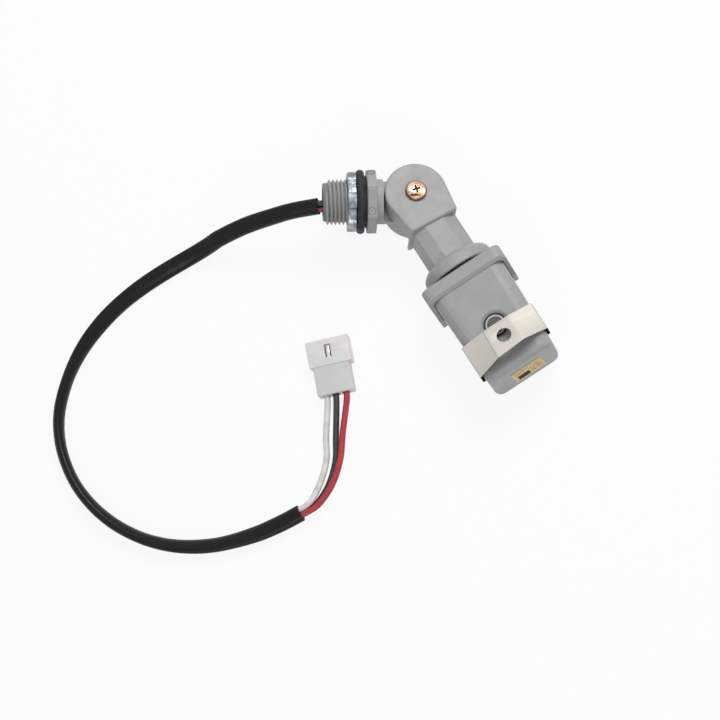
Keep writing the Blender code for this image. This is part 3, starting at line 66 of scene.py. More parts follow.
# Places that the CAD source sets
PIVOT = Vector((9.74, 34.24, 17.0)) * MM
TABLE_SPOT = Vector((9.74, 34.24, 0.0)) * MM
QUARTER = math.radians(90)
KNUCKLE_TURN = math.radians(17.3)
NIPPLE_TURN = math.radians(61.4)
PLUG_TURN = math.radians(-21)
HEAD = Matrix.Translation(PIVOT) @ Matrix.Rotation(QUARTER, 4, "X")
KNUCKLE = Matrix.Translation(PIVOT) @ Matrix.Rotation(KNUCKLE_TURN, 4, "Y")
NIPPLE = KNUCKLE @ Matrix.Rotation(NIPPLE_TURN, 4, "Z") @ Matrix.Rotation(-QUARTER, 4, "X")
CONNECTOR_SPOT = TABLE_SPOT + Vector((-77.6, -54.0, 0.0)) * MM
CONNECTOR = Matrix.Translation(CONNECTOR_SPOT) @ Matrix.Rotation(PLUG_TURN, 4, "Z")
# The drawn plug lies a little to the side of the CAD's, where the photo shows it
PLUG = CONNECTOR @ Matrix.Translation(Vector((-0.97, 0.57, 0)) * MM)
PLUG_LEVEL = 3.9 * MM
PLUG_CIRCUITS = {"white": -4.9, "black": -0.5, "red": 4.3}
PLUG_SLOT_MIDDLE = -0.2
FACING_FRONT = Matrix.Rotation(-QUARTER, 4, "X")
BODY_FRONT = 15.3 * MM
WINDOW_PLACE = 74.9 * MM
WINDOW_MIDDLE = HEAD @ Vector((0, BODY_FRONT, WINDOW_PLACE))

# The way the camera looks, and its place to the right, up and back of the pivot in metres
CAMERA_RIGHT = Vector((0.8343, -0.51, -0.2092)).normalized()
CAMERA_BACK = Vector((0.0595, -0.294, 0.954))
CAMERA_BACK = (CAMERA_BACK - CAMERA_RIGHT * CAMERA_BACK.dot(CAMERA_RIGHT)).normalized()
CAMERA_UP = CAMERA_BACK.cross(CAMERA_RIGHT)
CAMERA_PLACE = (-0.025, -0.073, 1.010)
FOCAL_LENGTH = 109.8


def make_camera():
    data = bpy.data.cameras.new("camera")
    data.sensor_width = 36
    data.lens = FOCAL_LENGTH
    data.clip_start = 0.05
    data.clip_end = 20
    camera = bpy.data.objects.new("camera", data)
    SCENE.collection.objects.link(camera)
    right, up, back = CAMERA_PLACE
    place = PIVOT + CAMERA_RIGHT * right + CAMERA_UP * up + CAMERA_BACK * back
    turn = Matrix((CAMERA_RIGHT, CAMERA_UP, CAMERA_BACK)).transposed()
    camera.matrix_world = Matrix.Translation(place) @ turn.to_4x4()
    SCENE.camera = camera


make_camera()


# Meshes


def make_object(name, model, body, smooth=35, matrix=None):
    """Turn a bmesh into a piece that rides a body."""
    if matrix is not None:
        bmesh.ops.transform(model, matrix=matrix, verts=model.verts)
    bmesh.ops.recalc_face_normals(model, faces=model.faces)
    mesh = bpy.data.meshes.new(name)
    model.to_mesh(mesh)
    model.free()
    mesh.shade_smooth()
    mesh.set_sharp_from_angle(angle=math.radians(smooth))
    piece = bpy.data.objects.new(name, mesh)
    SCENE.collection.objects.link(piece)
    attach(piece, body)
    return piece


def skin(model, rings, closed=False):
    """Faces between closed rings of points; the row of rings is closed too, or capped."""
    rows = [[model.verts.new(point) for point in ring] for ring in rings]
    pairs = list(zip(rows, rows[1:]))
    if closed:
        pairs.append((rows[-1], rows[0]))
    for first, second in pairs:
        count = len(first)
        for index in range(count):
            follow = (index + 1) % count
            model.faces.new((first[index], first[follow], second[follow], second[index]))
    if not closed:
        model.faces.new(reversed(rows[0]))
        model.faces.new(rows[-1])


def turned(name, profile, body, matrix, steps=64, smooth=35):
    """Turn a closed profile of (radius, height) points about Z."""
    model = bmesh.new()
    rings = []
    for step in range(steps):
        angle = 2 * math.pi * step / steps
        rings.append([(r * math.cos(angle), r * math.sin(angle), z) for r, z in profile])
    skin(model, rings, closed=True)
    bmesh.ops.remove_doubles(model, verts=model.verts, dist=1e-7)
    return make_object(name, model, body, smooth, matrix)


def smooth_route(points, steps=10):
    """A Catmull-Rom curve through the points, as in the CAD source."""
    row = [Vector(p) for p in points]
    row = [row[0] * 2 - row[1]] + row + [row[-1] * 2 - row[-2]]
    curve = []
    for before, start, end, after in zip(row, row[1:], row[2:], row[3:]):
        for step in range(steps):
            t = step / steps
            curve.append(
                (
                    start * 2
                    + (end - before) * t
                    + (before * 2 - start * 5 + end * 4 - after) * t**2
                    + (start * 3 - before - end * 3 + after) * t**3
                )
                / 2
            )
    return curve + [row[-2]]


def lengths_of(curve):
    """How far along a curve each of its points is."""
    lengths = [0.0]
    for start, end in zip(curve, curve[1:]):
        lengths.append(lengths[-1] + (end - start).length)
    return lengths


def resample(curve, spacing):
    """Points at an even spacing along a finely divided curve, with both its ends."""
    lengths = lengths_of(curve)
    count = max(2, round(lengths[-1] / spacing))
    points = []
    index = 0
    for step in range(count + 1):
        wanted = lengths[-1] * step / count
        while index < len(lengths) - 2 and lengths[index + 1] < wanted:
            index += 1
        share = (wanted - lengths[index]) / (lengths[index + 1] - lengths[index])
        points.append(curve[index].lerp(curve[index + 1], share))
    return points


def headings_of(curve):
    """The way that a curve runs at each of its points."""
    last = len(curve) - 1
    return [
        (curve[min(index + 1, last)] - curve[max(index - 1, 0)]).normalized()
        for index in range(last + 1)
    ]


def between(table, place):
    """Look a value up in a table of (place, value, ...) rows, eased between them."""
    if place <= table[0][0]:
        return table[0][1:]
    for low, high in zip(table, table[1:]):
        if place <= high[0]:
            t = (place - low[0]) / (high[0] - low[0])
            t = t * t * (3 - 2 * t)
            return tuple(a + (b - a) * t for a, b in zip(low[1:], high[1:]))
    return table[-1][1:]


# The cord: first the sleeve, then its three wires

SLEEVE_RISE = ((-38.0, 20.3, 9.8), (-47.9, 25.0, 9.4), (-56.5, 28.9, 7.2))
SLEEVE_ROUTE = (
    (-73.4, 36.1, 17.5), (-93.2, 41.6, 9.6), (-112.0, 44.3, 5.0), (-131.1, 44.6, 3.8),
    (-148.5, 42.4, 3.75), (-163.7, 37.7, 3.75), (-176.1, 31.2, 3.75), (-186.8, 22.9, 3.75),
    (-195.7, 12.9, 3.75),
    (-201.6, 1.2, 3.75), (-204.5, -11.5, 3.75), (-204.7, -24.0, 3.75), (-202.0, -37.5, 3.75),
    (-196.5, -50.5, 3.75), (-187.9, -62.9, 3.75), (-176.5, -73.4, 3.75), (-162.0, -81.8, 3.75),
    (-145.5, -87.3, 3.75), (-132.5, -89.7, 3.8), (-121.2, -90.9, 3.9),
)
WIRE_ROUTES = {
    "white": ((-113.4, -88.6, 4.3), (-105.7, -83.6, 3.9), (-98.3, -76.2, 3.5), (-93.2, -67.4, 3.5)),
    "black": ((-113.2, -91.0, 1.9), (-104.4, -86.9, 1.65), (-95.8, -79.2, 1.6), (-89.6, -69.9, 2.4)),
    "red": ((-111.8, -92.3, 4.5), (-102.0, -87.9, 4.2), (-92.8, -79.8, 3.8), (-85.5, -69.9, 3.6)),
}
# For each wire: its shift across the plug, then its side and rise in the sleeve's far mouth
WIRE_SPOTS = {
    "white": (-0.2, -1.4, 0.95), "black": (-0.4, 0.0, -1.35), "red": (-0.2, 1.4, 0.95),
}
WIRE_RADIUS = 1.35 * MM
WIRE_SWELL = 0.12 * MM
WIRE_SIDES = 20
WIRE_ROUNDING = 0.15 * MM
SLEEVE_WALL = 0.5 * MM
# Along the sleeve in millimetres: half its width, half its thickness and the wide axis's angle
# from the camera's plane in degrees
SLEEVE_SHAPE = (
    (0, 3.95, 3.65, 34), (9, 4.0, 2.95, 30), (40, 4.1, 2.6, 20), (85, 4.1, 2.6, 12),
    (120, 4.05, 2.65, 30), (165, 4.1, 2.6, 72), (200, 4.1, 2.6, 92), (245, 4.05, 2.65, 76),
    (290, 4.1, 2.6, 52), (322, 4.1, 2.75, 30), (333, 3.95, 3.22, 20),
)
SLEEVE_SIDES = 40
SLEEVE_CUT = 0.12 * MM
SLEEVE_INSIDE = 5
TABLE_GAP = 0.1 * MM
# The CAD's lying level, and the height over it in which the sleeve is let down
LYING_LEVEL = 3.8 * MM
LETTING_DOWN = 8 * MM


def route_points(route, start=TABLE_SPOT):
    """The points of a route that is given in millimetres from a start."""
    return [start + Vector(point) * MM for point in route]


def sleeve_section(place):
    """Half width, half thickness and turn of the sleeve at a place along it."""
    half_width, half_depth, turn = between(SLEEVE_SHAPE, place / MM)
    return half_width * MM, half_depth * MM, math.radians(turn)


def section_axes(heading, turn):
    """The section's wide and thin axes, with the turn counted from the camera's plane."""
    across = heading.cross(CAMERA_BACK).normalized()
    out = across.cross(heading)
    wide = across * math.cos(turn) + out * math.sin(turn)
    thin = out * math.cos(turn) - across * math.sin(turn)
    return wide, thin


def sleeve_path():
    """The CAD's route, with the lying part let down to where its own section rests."""
    curve = smooth_route(route_points(SLEEVE_RISE, PIVOT) + route_points(SLEEVE_ROUTE))
    curve = resample(curve, 2.0 * MM)
    path = []
    for point, place, heading in zip(curve, lengths_of(curve), headings_of(curve)):
        half_width, half_depth, turn = sleeve_section(place)
        wide, thin = section_axes(heading, turn)
        half_height = math.hypot(half_width * wide.z, half_depth * thin.z)
        lying = half_height + TABLE_GAP
        share = min(max((point.z - LYING_LEVEL) / LETTING_DOWN, 0.0), 1.0)
        path.append(Vector((point.x, point.y, lying + (point.z - lying) * share)))
    return path


def make_sleeve(path):
    """A thin-walled oval tube, turned slowly along its length, with open cut ends."""
    headings = headings_of(path)
    lengths = lengths_of(path)

    def ring(index, wall, shift=0.0):
        half_width, half_depth, turn = sleeve_section(lengths[index])
        wide, thin = section_axes(headings[index], turn)
        points = []
        for side in range(SLEEVE_SIDES):
            angle = 2 * math.pi * side / SLEEVE_SIDES
            across = wide * (half_width - wall) * math.cos(angle)
            rest = across + thin * (half_depth - wall) * math.sin(angle)
            points.append(path[index] + rest + headings[index] * shift)
        return points

    last = len(path) - 1
    cut = SLEEVE_CUT
    rings = [ring(index, SLEEVE_WALL) for index in reversed(range(SLEEVE_INSIDE))]
    rings += [ring(0, SLEEVE_WALL - cut), ring(0, cut), ring(0, 0.0, cut)]
    rings += [ring(index, 0.0) for index in range(1, last)]
    rings += [ring(last, 0.0, -cut), ring(last, cut), ring(last, SLEEVE_WALL - cut)]
    rings += [ring(last - index, SLEEVE_WALL) for index in range(SLEEVE_INSIDE)]
    model = bmesh.new()
    skin(model, rings)
    return make_object("sleeve", model, "nipple")


def make_wire(name, path, swell=0.0):
    """A round wire with softly rounded ends along a path, which may swell a little on its way."""
    model = bmesh.new()
    rings = []
    headings = headings_of(path)
    across = headings[0].cross(Vector((0, 0, 1))).normalized()
    last = len(path) - 1
    for index, (point, heading) in enumerate(zip(path, headings)):
        across = (across - heading * across.dot(heading)).normalized()
        up = across.cross(heading)
        size = WIRE_RADIUS + between(((3, 0.0), (10, swell)), index)[0]
        if index in (0, last):
            size -= WIRE_ROUNDING
        angles = [2 * math.pi * side / WIRE_SIDES for side in range(WIRE_SIDES)]
        rings.append([point + (across * math.cos(a) + up * math.sin(a)) * size for a in angles])
    skin(model, rings)
    return make_object(name, model, "nipple")


def make_far_wires(path):
    """Three wires from inside the sleeve's far end to their places in the plug."""
    heading = (path[-1] - path[-2]).normalized()
    across = heading.cross(Vector((0, 0, 1))).normalized()
    up = across.cross(heading)
    made = {}
    for color, (shift, side, rise) in WIRE_SPOTS.items():
        start = path[-1] + across * side * MM + up * rise * MM
        x = (PLUG_CIRCUITS[color] + shift) * MM
        inside = [PLUG @ Vector((x, y * MM, PLUG_LEVEL)) for y in (-3.0, 1.0, 5.0)]
        mouth = [start - heading * 3 * MM, start + heading * 1 * MM, start + heading * 3 * MM]
        curve = smooth_route(mouth + route_points(WIRE_ROUTES[color]) + inside)
        points = resample(curve, 1.5 * MM)
        points.insert(1, points[0].lerp(points[1], 0.1))
        points.insert(-1, points[-1].lerp(points[-2], 0.1))
        wire = make_wire("far_wire_" + color, points, WIRE_SWELL)
        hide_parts("wire_" + color)
        made[color] = (wire, points)
    return made


def apply_modifiers(piece):
    """Keep what a piece's modifiers make of its mesh, without them."""
    bpy.context.view_layer.update()
    seen = piece.evaluated_get(bpy.context.evaluated_depsgraph_get())
    done = bpy.data.meshes.new_from_object(seen)
    piece.modifiers.clear()
    old = piece.data
    piece.data = done
    bpy.data.meshes.remove(old)


def boolean(piece, tool, operation):
    """Cut a piece with a tool or join the two, and take the tool away."""
    change = piece.modifiers.new("change", "BOOLEAN")
    change.operation = operation
    change.solver = "EXACT"
    change.object = tool
    apply_modifiers(piece)
    bpy.data.objects.remove(tool, do_unlink=True)


SMOOTH_ANGLE = 38


def bevel(piece, width, angle=40):
    """Break the edges of a piece that are sharper than an angle in degrees."""
    edge = piece.modifiers.new("edge", "BEVEL")
    edge.width = width
    edge.segments = 2
    edge.limit_method = "ANGLE"
    edge.angle_limit = math.radians(angle)
    apply_modifiers(piece)
    piece.data.shade_smooth()
    piece.data.set_sharp_from_angle(angle=math.radians(SMOOTH_ANGLE))


def block(name, low, high, rounding=0.0, segments=3, slot=None):
    """A box of the plug between two corners in millimetres, with rounded edges."""
    model = bmesh.new()
    bmesh.ops.create_cube(model, size=1.0)
    low, high = Vector(low) * MM, Vector(high) * MM
    size, middle = high - low, (low + high) / 2
    for vert in model.verts:
        vert.co = Vector([vert.co[axis] * size[axis] + middle[axis] for axis in range(3)])
    if rounding:
        bmesh.ops.bevel(
            model, geom=list(model.edges), offset=rounding * MM, segments=segments, profile=0.5,
            affect="EDGES",
        )
    return make_object(name, model, "nipple", SMOOTH_ANGLE, PLUG)


def make_plug():
    """The stepped nylon plug with three circuits, and the metal that shows in its slot."""
    level = PLUG_LEVEL / MM
    front = ((-10.1, 13.6, 0.1), (10.1, 26.2, 7.6))
    housing = block("plug_front", *front, 0.45, 3, "connector_housing")
    boolean(housing, block("plug_rear", (-8.6, 0, 0.45), (8.6, 15.4, 7.05), 0.4), "UNION")
    for x in PLUG_CIRCUITS.values():
        hole = block("circuit", (x - 1.8, -1, level - 1.8), (x + 1.8, 28, level + 1.8))
        boolean(housing, hole, "DIFFERENCE")
    boolean(housing, block("slot", (-1.65, 17.2, level), (1.35, 23.5, 9.0)), "DIFFERENCE")
    bevel(housing, 0.14 * MM, 50)
    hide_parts("connector_housing")
    terminals = {}
    for color, x in PLUG_CIRCUITS.items():
        in_slot = color == "black"
        if in_slot:
            x = PLUG_SLOT_MIDDLE
        left, right = x - 0.95, x + 0.95
        name, node = "plug_terminal_" + color, "terminal_" + color
        box = ((left, 6.2, level - 1.4), (right, 24.0, level + 1.3))
        terminal = block(name, *box, 0.25, 2, node)
        if in_slot:
            boolean(terminal, block("lance", (left, 17.0, level), (right, 23.3, 6.7), 0.4), "UNION")
        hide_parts(node)
        terminals[color] = terminal
    return housing, terminals


def declare_cords():
    """Hide the CAD's sleeve, which the drawn sleeve stands in for."""
    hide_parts("cord_sleeve")


SLEEVE_PATH = sleeve_path()
SLEEVE = make_sleeve(SLEEVE_PATH)
FAR_WIRES = make_far_wires(SLEEVE_PATH)
PLUG_HOUSING, PLUG_TERMINALS = make_plug()
declare_cords()


# The fine pieces

THREAD_PITCH = 1.814 * MM
THREAD_START = 23.0 * MM
THREAD_END = 40.75 * MM
THREAD_FADE = math.radians(125)
THREAD_CREST = 10.45 * MM
THREAD_ROOT = 9.0 * MM
# The CAD's thread mark: its angle and its height
THREAD_MARK = (math.radians(155), 38.3 * MM)


def make_thread():
    """One ridge wound on the nipple, cut low at both of its ends."""
    turns = (THREAD_END - THREAD_START) / THREAD_PITCH
    count = round(turns * 60)
    total = turns * 2 * math.pi
    mark_angle, mark_level = THREAD_MARK
    end_angle = mark_angle + 2 * math.pi * (THREAD_END - mark_level) / THREAD_PITCH
    model = bmesh.new()
    rings = []
    for step in range(count + 1):
        along = total * step / count
        angle = end_angle - total + along
        z = THREAD_START + THREAD_PITCH * along / (2 * math.pi)
        share = min(along / THREAD_FADE, (total - along) / THREAD_FADE, 1.0)
        share = max(share, 0.02)
        height = (THREAD_CREST - THREAD_ROOT) * math.sin(share * math.pi / 2) ** 0.8
        foot = THREAD_ROOT - 0.25 * MM
        section = (
            (-0.83, THREAD_ROOT), (-0.17, THREAD_ROOT + height * 0.94), (-0.05, THREAD_ROOT + height),
            (0.05, THREAD_ROOT + height), (0.17, THREAD_ROOT + height * 0.94), (0.83, THREAD_ROOT),
            (0.55, foot), (-0.55, foot),
        )
        rings.append([(r * math.cos(angle), r * math.sin(angle), z + dz * MM) for dz, r in section])
    skin(model, rings)
    return make_object("thread", model, "nipple", 50, NIPPLE)


# The flange's mould marks: the flat's angle in degrees, then places along it and up in millimetres
FLANGE_MARKS = ((244, -4.1, 20.3), (304, 4.9, 20.0), (64, 3.6, 19.8))
FLANGE_REACH = 12.8 * MM
MARK_RADIUS = 1.65 * MM
MARK_RELIEF = (0.3 * MM, 0.24 * MM)
MARK_DOT = ((0.0001, 0.12), (0.3, 0.1), (0.5, -0.02), (0.5, -0.2), (0.0001, -0.2))


def make_flange_marks():
    """A small ring round a dot on each of three flats of the flange."""
    wide, high = MARK_RELIEF
    ring = []
    for step in range(10):
        a = 2 * math.pi * step / 10
        ring.append((MARK_RADIUS + wide * math.cos(a), -0.02 * MM + high * math.sin(a)))
    dot = [(r * MM, z * MM) for r, z in MARK_DOT]
    made = []
    for number, (flat, offset, z) in enumerate(FLANGE_MARKS, 1):
        angle = math.radians(flat)
        normal = Vector((math.cos(angle), math.sin(angle), 0))
        along = Vector((-math.sin(angle), math.cos(angle), 0))
        spot = normal * FLANGE_REACH + along * offset * MM + Vector((0, 0, z * MM))
        matrix = Matrix((along, Vector((0, 0, 1)), normal)).transposed().to_4x4()
        matrix = NIPPLE @ Matrix.Translation(spot) @ matrix
        name = f"flange_mark_{number}"
        made.append(turned(name, ring, "nipple", matrix, 40, 80))
        made.append(turned(name + "_dot", dot, "nipple", matrix, 24, 80))
    return made


SHIELD_SHEET = 0.6 * MM
SHIELD_START = 75.2 * MM
SHIELD_REACH = 15.4 * MM - 0.6 * MM
SHIELD_SLANT = 0.061
SHIELD_SIDE = 17.9 * MM
SHIELD_CORNER = 13.9 * MM
SHIELD_LIP = 3.7 * MM
SHIELD_FOLDS = (0.45, 0.8, 0.8, 1.6, 0.8, 0.45)
# Half the middle facet's width and its level, at the strip's upper and at its lower edge
SHIELD_TOP = (6.3 * MM, 17.6 * MM)
SHIELD_LOW = (7.0 * MM, 23.0 * MM)
SHIELD_ROWS = 10
HOLE_SPOT = Vector((0.6 * MM, 20 * MM, SHIELD_START + 7.3 * MM))
HOLE_RADIUS = 3.4 * MM


def round_corners(points, radii, steps=6):
    """Fillet the inner points of an open polyline."""
    row = [Vector(p) for p in points]
    result = [row[0]]
    for before, corner, after, radius in zip(row, row[1:], row[2:], radii):
        to_before, to_after = (before - corner).normalized(), (after - corner).normalized()
        half = to_before.angle(to_after) / 2
        cut = radius / math.tan(half)
        start, end = corner + to_before * cut, corner + to_after * cut
        middle = corner + (to_before + to_after).normalized() * (radius / math.sin(half))
        first = start - middle
        turn = first.angle(end - middle)
        side = (end - middle) - first * ((end - middle).dot(first) / first.length_squared)
        side = side.normalized() * first.length
        for step in range(steps + 1):
            a = turn * step / steps
            result.append(middle + first * math.cos(a) + side * math.sin(a))
    return result + [row[-1]]


def shield_row(crease, level):
    """The folded sheet's middle line at one height, from lip to lip, with rounded folds."""
    side = SHIELD_SIDE + SHIELD_SHEET / 2
    lip = SHIELD_SIDE + SHIELD_SHEET - 1.4 * MM
    half = [(crease, level), (side, SHIELD_CORNER), (side, SHIELD_LIP), (lip, SHIELD_LIP)]
    points = [(-x, y, 0) for x, y in reversed(half)] + [(x, y, 0) for x, y in half]
    return round_corners(points, [radius * MM for radius in SHIELD_FOLDS])


def shield_reach(x):
    """The strip's height at a place across it: its lower edge is cut a little askew."""
    return SHIELD_REACH - SHIELD_SLANT * x


def make_shield():
    """A folded stainless strip with rounded folds, a punched hole and softly broken edges."""
    top, low = shield_row(*SHIELD_TOP), shield_row(*SHIELD_LOW)
    model = bmesh.new()
    grid = []
    for row in range(SHIELD_ROWS + 1):
        t = row / SHIELD_ROWS
        points = [a.lerp(b, t) for a, b in zip(top, low)]
        places = [(p.x, p.y, SHIELD_START + shield_reach(p.x) * t) for p in points]
        grid.append([model.verts.new(place) for place in places])
    for upper, lower in zip(grid, grid[1:]):
        for index in range(len(upper) - 1):
            model.faces.new((upper[index], upper[index + 1], lower[index + 1], lower[index]))
    shield = make_object("shield", model, "shield", 35, HEAD)
    sheet = shield.modifiers.new("sheet", "SOLIDIFY")
    sheet.thickness = SHIELD_SHEET
    sheet.offset = 0
    sheet.use_even_offset = True
    punch = bmesh.new()
    bmesh.ops.create_cone(
        punch, cap_ends=True, segments=64, radius1=HOLE_RADIUS, radius2=HOLE_RADIUS, depth=9 * MM,
        matrix=HEAD @ Matrix.Translation(HOLE_SPOT) @ FACING_FRONT,
    )
    boolean(shield, make_object("shield_hole", punch, "shield"), "DIFFERENCE")
    bevel(shield, 0.07 * MM, 60)
    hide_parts("light_shield")
    return shield


WINDOW_RING_PROFILE = (
    (4.36, -0.5), (4.52, -0.5), (4.52, -0.2), (4.44, -0.08), (4.28, -0.03), (3.95, -0.03),
    (3.8, -0.08), (3.74, -0.16), (3.8, -0.2), (4.36, -0.2),
)


def make_window_ring():
    """The pale ring that holds the lens in its window."""
    matrix = HEAD @ Matrix.Translation((0, BODY_FRONT, WINDOW_PLACE)) @ FACING_FRONT
    profile = [(r * MM, z * MM) for r, z in WINDOW_RING_PROFILE]
    return turned("window_ring", profile, "head", matrix, 72, 50)


LEAD_SPREAD = 1.75 * MM
LEAD_START = math.pi / 6
LEAD_TWIST = math.radians(140)


def make_leads(path):
    """Three wires from the knuckle through the nipple, half twisted, into the sleeve's mouth."""
    to_nipple = NIPPLE.inverted()
    mouth = to_nipple @ path[0]
    heading = ((to_nipple @ path[1]) - mouth).normalized()
    inner, bend = Vector((0, 3.8, 11.2)) * MM, Vector((0, 3.8, 20.7)) * MM
    reach = (mouth - bend).length * 0.4
    handles = (bend, bend + Vector((0, 0, reach)), mouth - heading * reach, mouth)
    middle = [inner.lerp(bend, step / 4) for step in range(4)]
    for step in range(25):
        t = step / 24
        shares = ((1 - t) ** 3, 3 * t * (1 - t) ** 2, 3 * t**2 * (1 - t), t**3)
        middle.append(sum((handle * share for handle, share in zip(handles, shares)), Vector()))
    whole = lengths_of(middle)[-1]
    middle += [mouth + heading * step * MM for step in (1.0, 2.0, 3.0, 4.0)]
    places, ways = lengths_of(middle), headings_of(middle)
    made = {}
    for index, color in enumerate(("red", "black", "white")):
        across = Vector((1, 0, 0))
        points = []
        for point, place, way in zip(middle, places, ways):
            across = (across - way * across.dot(way)).normalized()
            angle = LEAD_START + index * 2 * math.pi / 3 + LEAD_TWIST * min(place / whole, 1.0)
            beside = across * math.cos(angle) + way.cross(across) * math.sin(angle)
            points.append(NIPPLE @ (point + beside * LEAD_SPREAD))
        made[color] = make_wire("nipple_lead_" + color, points)
        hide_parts("lead_" + color)
    return made


# The screw in millimetres along the knuckle's axis
SCREW_UNDER = 10.75
SCREW_TOP = 13.25
SCREW_RIM = 0.5
SCREW_HEAD_RADIUS = 4.95
SCREW_RADIUS = 1.95
SCREW_END = -10.4
SCREW_TURN = math.radians(-12.5)
# The cross: half its length, half its arms' width, and the height over the screw's top
CROSS_LEVELS = ((2.35, 0.62, 0.5), (2.1, 0.5, -0.25), (1.75, 0.42, -0.9), (0.8, 0.3, -1.8))


def make_screw():
    """The pan head screw, with a cross recess that narrows as it goes down."""
    radius, height = SCREW_HEAD_RADIUS, SCREW_TOP - SCREW_UNDER - SCREW_RIM
    profile = [(0.0001, SCREW_TOP)]
    for step in range(1, 13):
        a = math.pi / 2 * step / 12
        profile.append((radius * math.sin(a), SCREW_UNDER + SCREW_RIM + height * math.cos(a)))
    profile += [
        (radius - 0.06, SCREW_UNDER + 0.1), (radius - 0.2, SCREW_UNDER), (SCREW_RADIUS, SCREW_UNDER),
        (SCREW_RADIUS, SCREW_END + 0.4), (SCREW_RADIUS - 0.4, SCREW_END), (0.0001, SCREW_END),
    ]
    profile = [(r * MM, z * MM) for r, z in profile]
    screw = turned("cross_screw", profile, "arm", KNUCKLE)
    rings = []
    for long, wide, rise in CROSS_LEVELS:
        ring = []
        for quarter in range(4):
            spin = Matrix.Rotation(SCREW_TURN + quarter * QUARTER, 3, "Z")
            for x, y in ((long, -wide), (long, wide), (wide, wide)):
                ring.append(spin @ Vector((x * MM, y * MM, (SCREW_TOP + rise) * MM)))
        rings.append(ring)
    model = bmesh.new()
    skin(model, rings)
    boolean(screw, make_object("cross_tool", model, "arm", matrix=KNUCKLE), "DIFFERENCE")
    bevel(screw, 0.05 * MM)
    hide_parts("pivot_screw")
    return screw


LABEL_CORNERS = ((-7.19, 6.0), (8.59, 7.1), (9.9, -9.1), (-5.9, -10.6))
LABEL_ROUNDING = 0.7
# The film's rings: how far they are drawn in, and how far along the head they stand
LABEL_LEVELS = ((0.0, 96.05), (0.0, 96.2), (0.06, 96.25))
LABEL_SIZE = (16.0 * MM, 16.6 * MM)


def make_label():
    """A thin film with small round corners, stuck on a little askew."""
    corners = [Vector(corner) for corner in LABEL_CORNERS]
    outline = []
    for before, corner, after in zip(corners[-1:] + corners, corners, corners[1:] + corners[:1]):
        to_before = (before - corner).normalized() * LABEL_ROUNDING
        to_after = (after - corner).normalized() * LABEL_ROUNDING
        for step in range(5):
            t = step / 4
            outline.append(corner + to_before * (1 - t) ** 2 + to_after * t**2)
    middle = sum(outline, Vector((0, 0))) / len(outline)
    rings = []
    for inset, z in LABEL_LEVELS:
        level = Vector((0, 0, z * MM))
        spots = [p + (middle - p).normalized() * inset for p in outline]
        rings.append([spot.to_3d() * MM + level for spot in spots])
    model = bmesh.new()
    skin(model, rings)
    label = make_object("label_film", model, "head", 35, HEAD)
    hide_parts("rating_label")
    return label


THREAD = make_thread()
MARKS = make_flange_marks()
SHIELD = make_shield()
WINDOW_RING = make_window_ring()
LEADS = make_leads(SLEEVE_PATH)
SCREW = make_screw()
LABEL = make_label()


# Materials


class Look:
    """A node material on a Principled shader, built up step by step."""

    def __init__(self, name, **values):
        self.material = bpy.data.materials.new(name)
        self.material.use_nodes = True
        self.tree = self.material.node_tree
        self.shader = self.tree.nodes["Principled BSDF"]
        self.coords = self.tree.nodes.new("ShaderNodeTexCoord").outputs["Object"]
        for key, value in values.items():
            self.shader.inputs[key.replace("_", " ")].default_value = value

    def link(self, source, target):
        if isinstance(source, (int, float)):
            target.default_value = source
        elif isinstance(source, tuple):
            target.default_value = (*source, 1.0) if target.type == "RGBA" else source
        else:
            self.tree.links.new(source, target)

    def add(self, kind, inputs, **settings):
        """A node with its settings, and values or links for its inputs."""
        node = self.tree.nodes.new("ShaderNode" + kind)
        for key, value in settings.items():
            setattr(node, key, value)
        for key, value in inputs.items():
            self.link(value, node.inputs[key])
        return node

    def mapped(self, scale=(1, 1, 1), turn=(0, 0, 0), move=(0, 0, 0), coords=None):
        """Coordinates moved, turned and then stretched."""
        values = {"Vector": coords or self.coords, "Location": tuple(move), "Rotation": tuple(turn)}
        placed = self.add("Mapping", values, vector_type="TEXTURE").outputs["Vector"]
        return self.add("Mapping", {"Vector": placed, "Scale": scale}).outputs["Vector"]

    def noise(self, scale, detail=3, roughness=0.6, coords=None, distortion=0.0):
        values = {
            "Vector": coords or self.coords, "Scale": scale, "Detail": detail,
            "Roughness": roughness, "Distortion": distortion,
        }
        return self.add("TexNoise", values).outputs["Fac"]

    def cells(self, scale, feature="F1"):
        values = {"Vector": self.coords, "Scale": scale}
        return self.add("TexVoronoi", values, feature=feature).outputs["Distance"]

    def math(self, operation, *values):
        return self.add("Math", dict(enumerate(values)), operation=operation).outputs[0]

    def times(self, first, *others):
        for other in others:
            first = self.math("MULTIPLY", first, other)
        return first

    def distance(self, x, y):
        return self.math("SQRT", self.math("ADD", self.times(x, x), self.times(y, y)))

    def split(self, coords=None):
        return tuple(self.add("SeparateXYZ", {0: coords or self.coords}).outputs)

    def ramp(self, value, low, high, first=0.0, last=1.0):
        values = {"Value": value, "From Min": low, "From Max": high, "To Min": first, "To Max": last}
        return self.add("MapRange", values, interpolation_type="SMOOTHSTEP").outputs["Result"]

    def patches(self, scale, low=0.3, high=0.7, first=0.0, last=1.0, **more):
        """Noise that goes from the first value to the last one between two limits."""
        return self.ramp(self.noise(scale, **more), low, high, first, last)

    def mix(self, share, first, second):
        values = {"Factor": share, 6: first, 7: second}
        return self.add("Mix", values, data_type="RGBA").outputs[2]

    def bump(self, height, depth, strength, normal=None):
        """Relief of a depth in millimetres."""
        values = {"Height": height, "Distance": depth * MM, "Strength": strength}
        if normal is not None:
            values["Normal"] = normal
        return self.add("Bump", values).outputs["Normal"]

    def finish(self, tone, rough, normal):
        for name, source in (("Base Color", tone), ("Roughness", rough), ("Normal", normal)):
            self.link(source, self.shader.inputs[name])
        return self.material


def shade_of(color, factor):
    return tuple(min(c * factor, 1.0) for c in color)


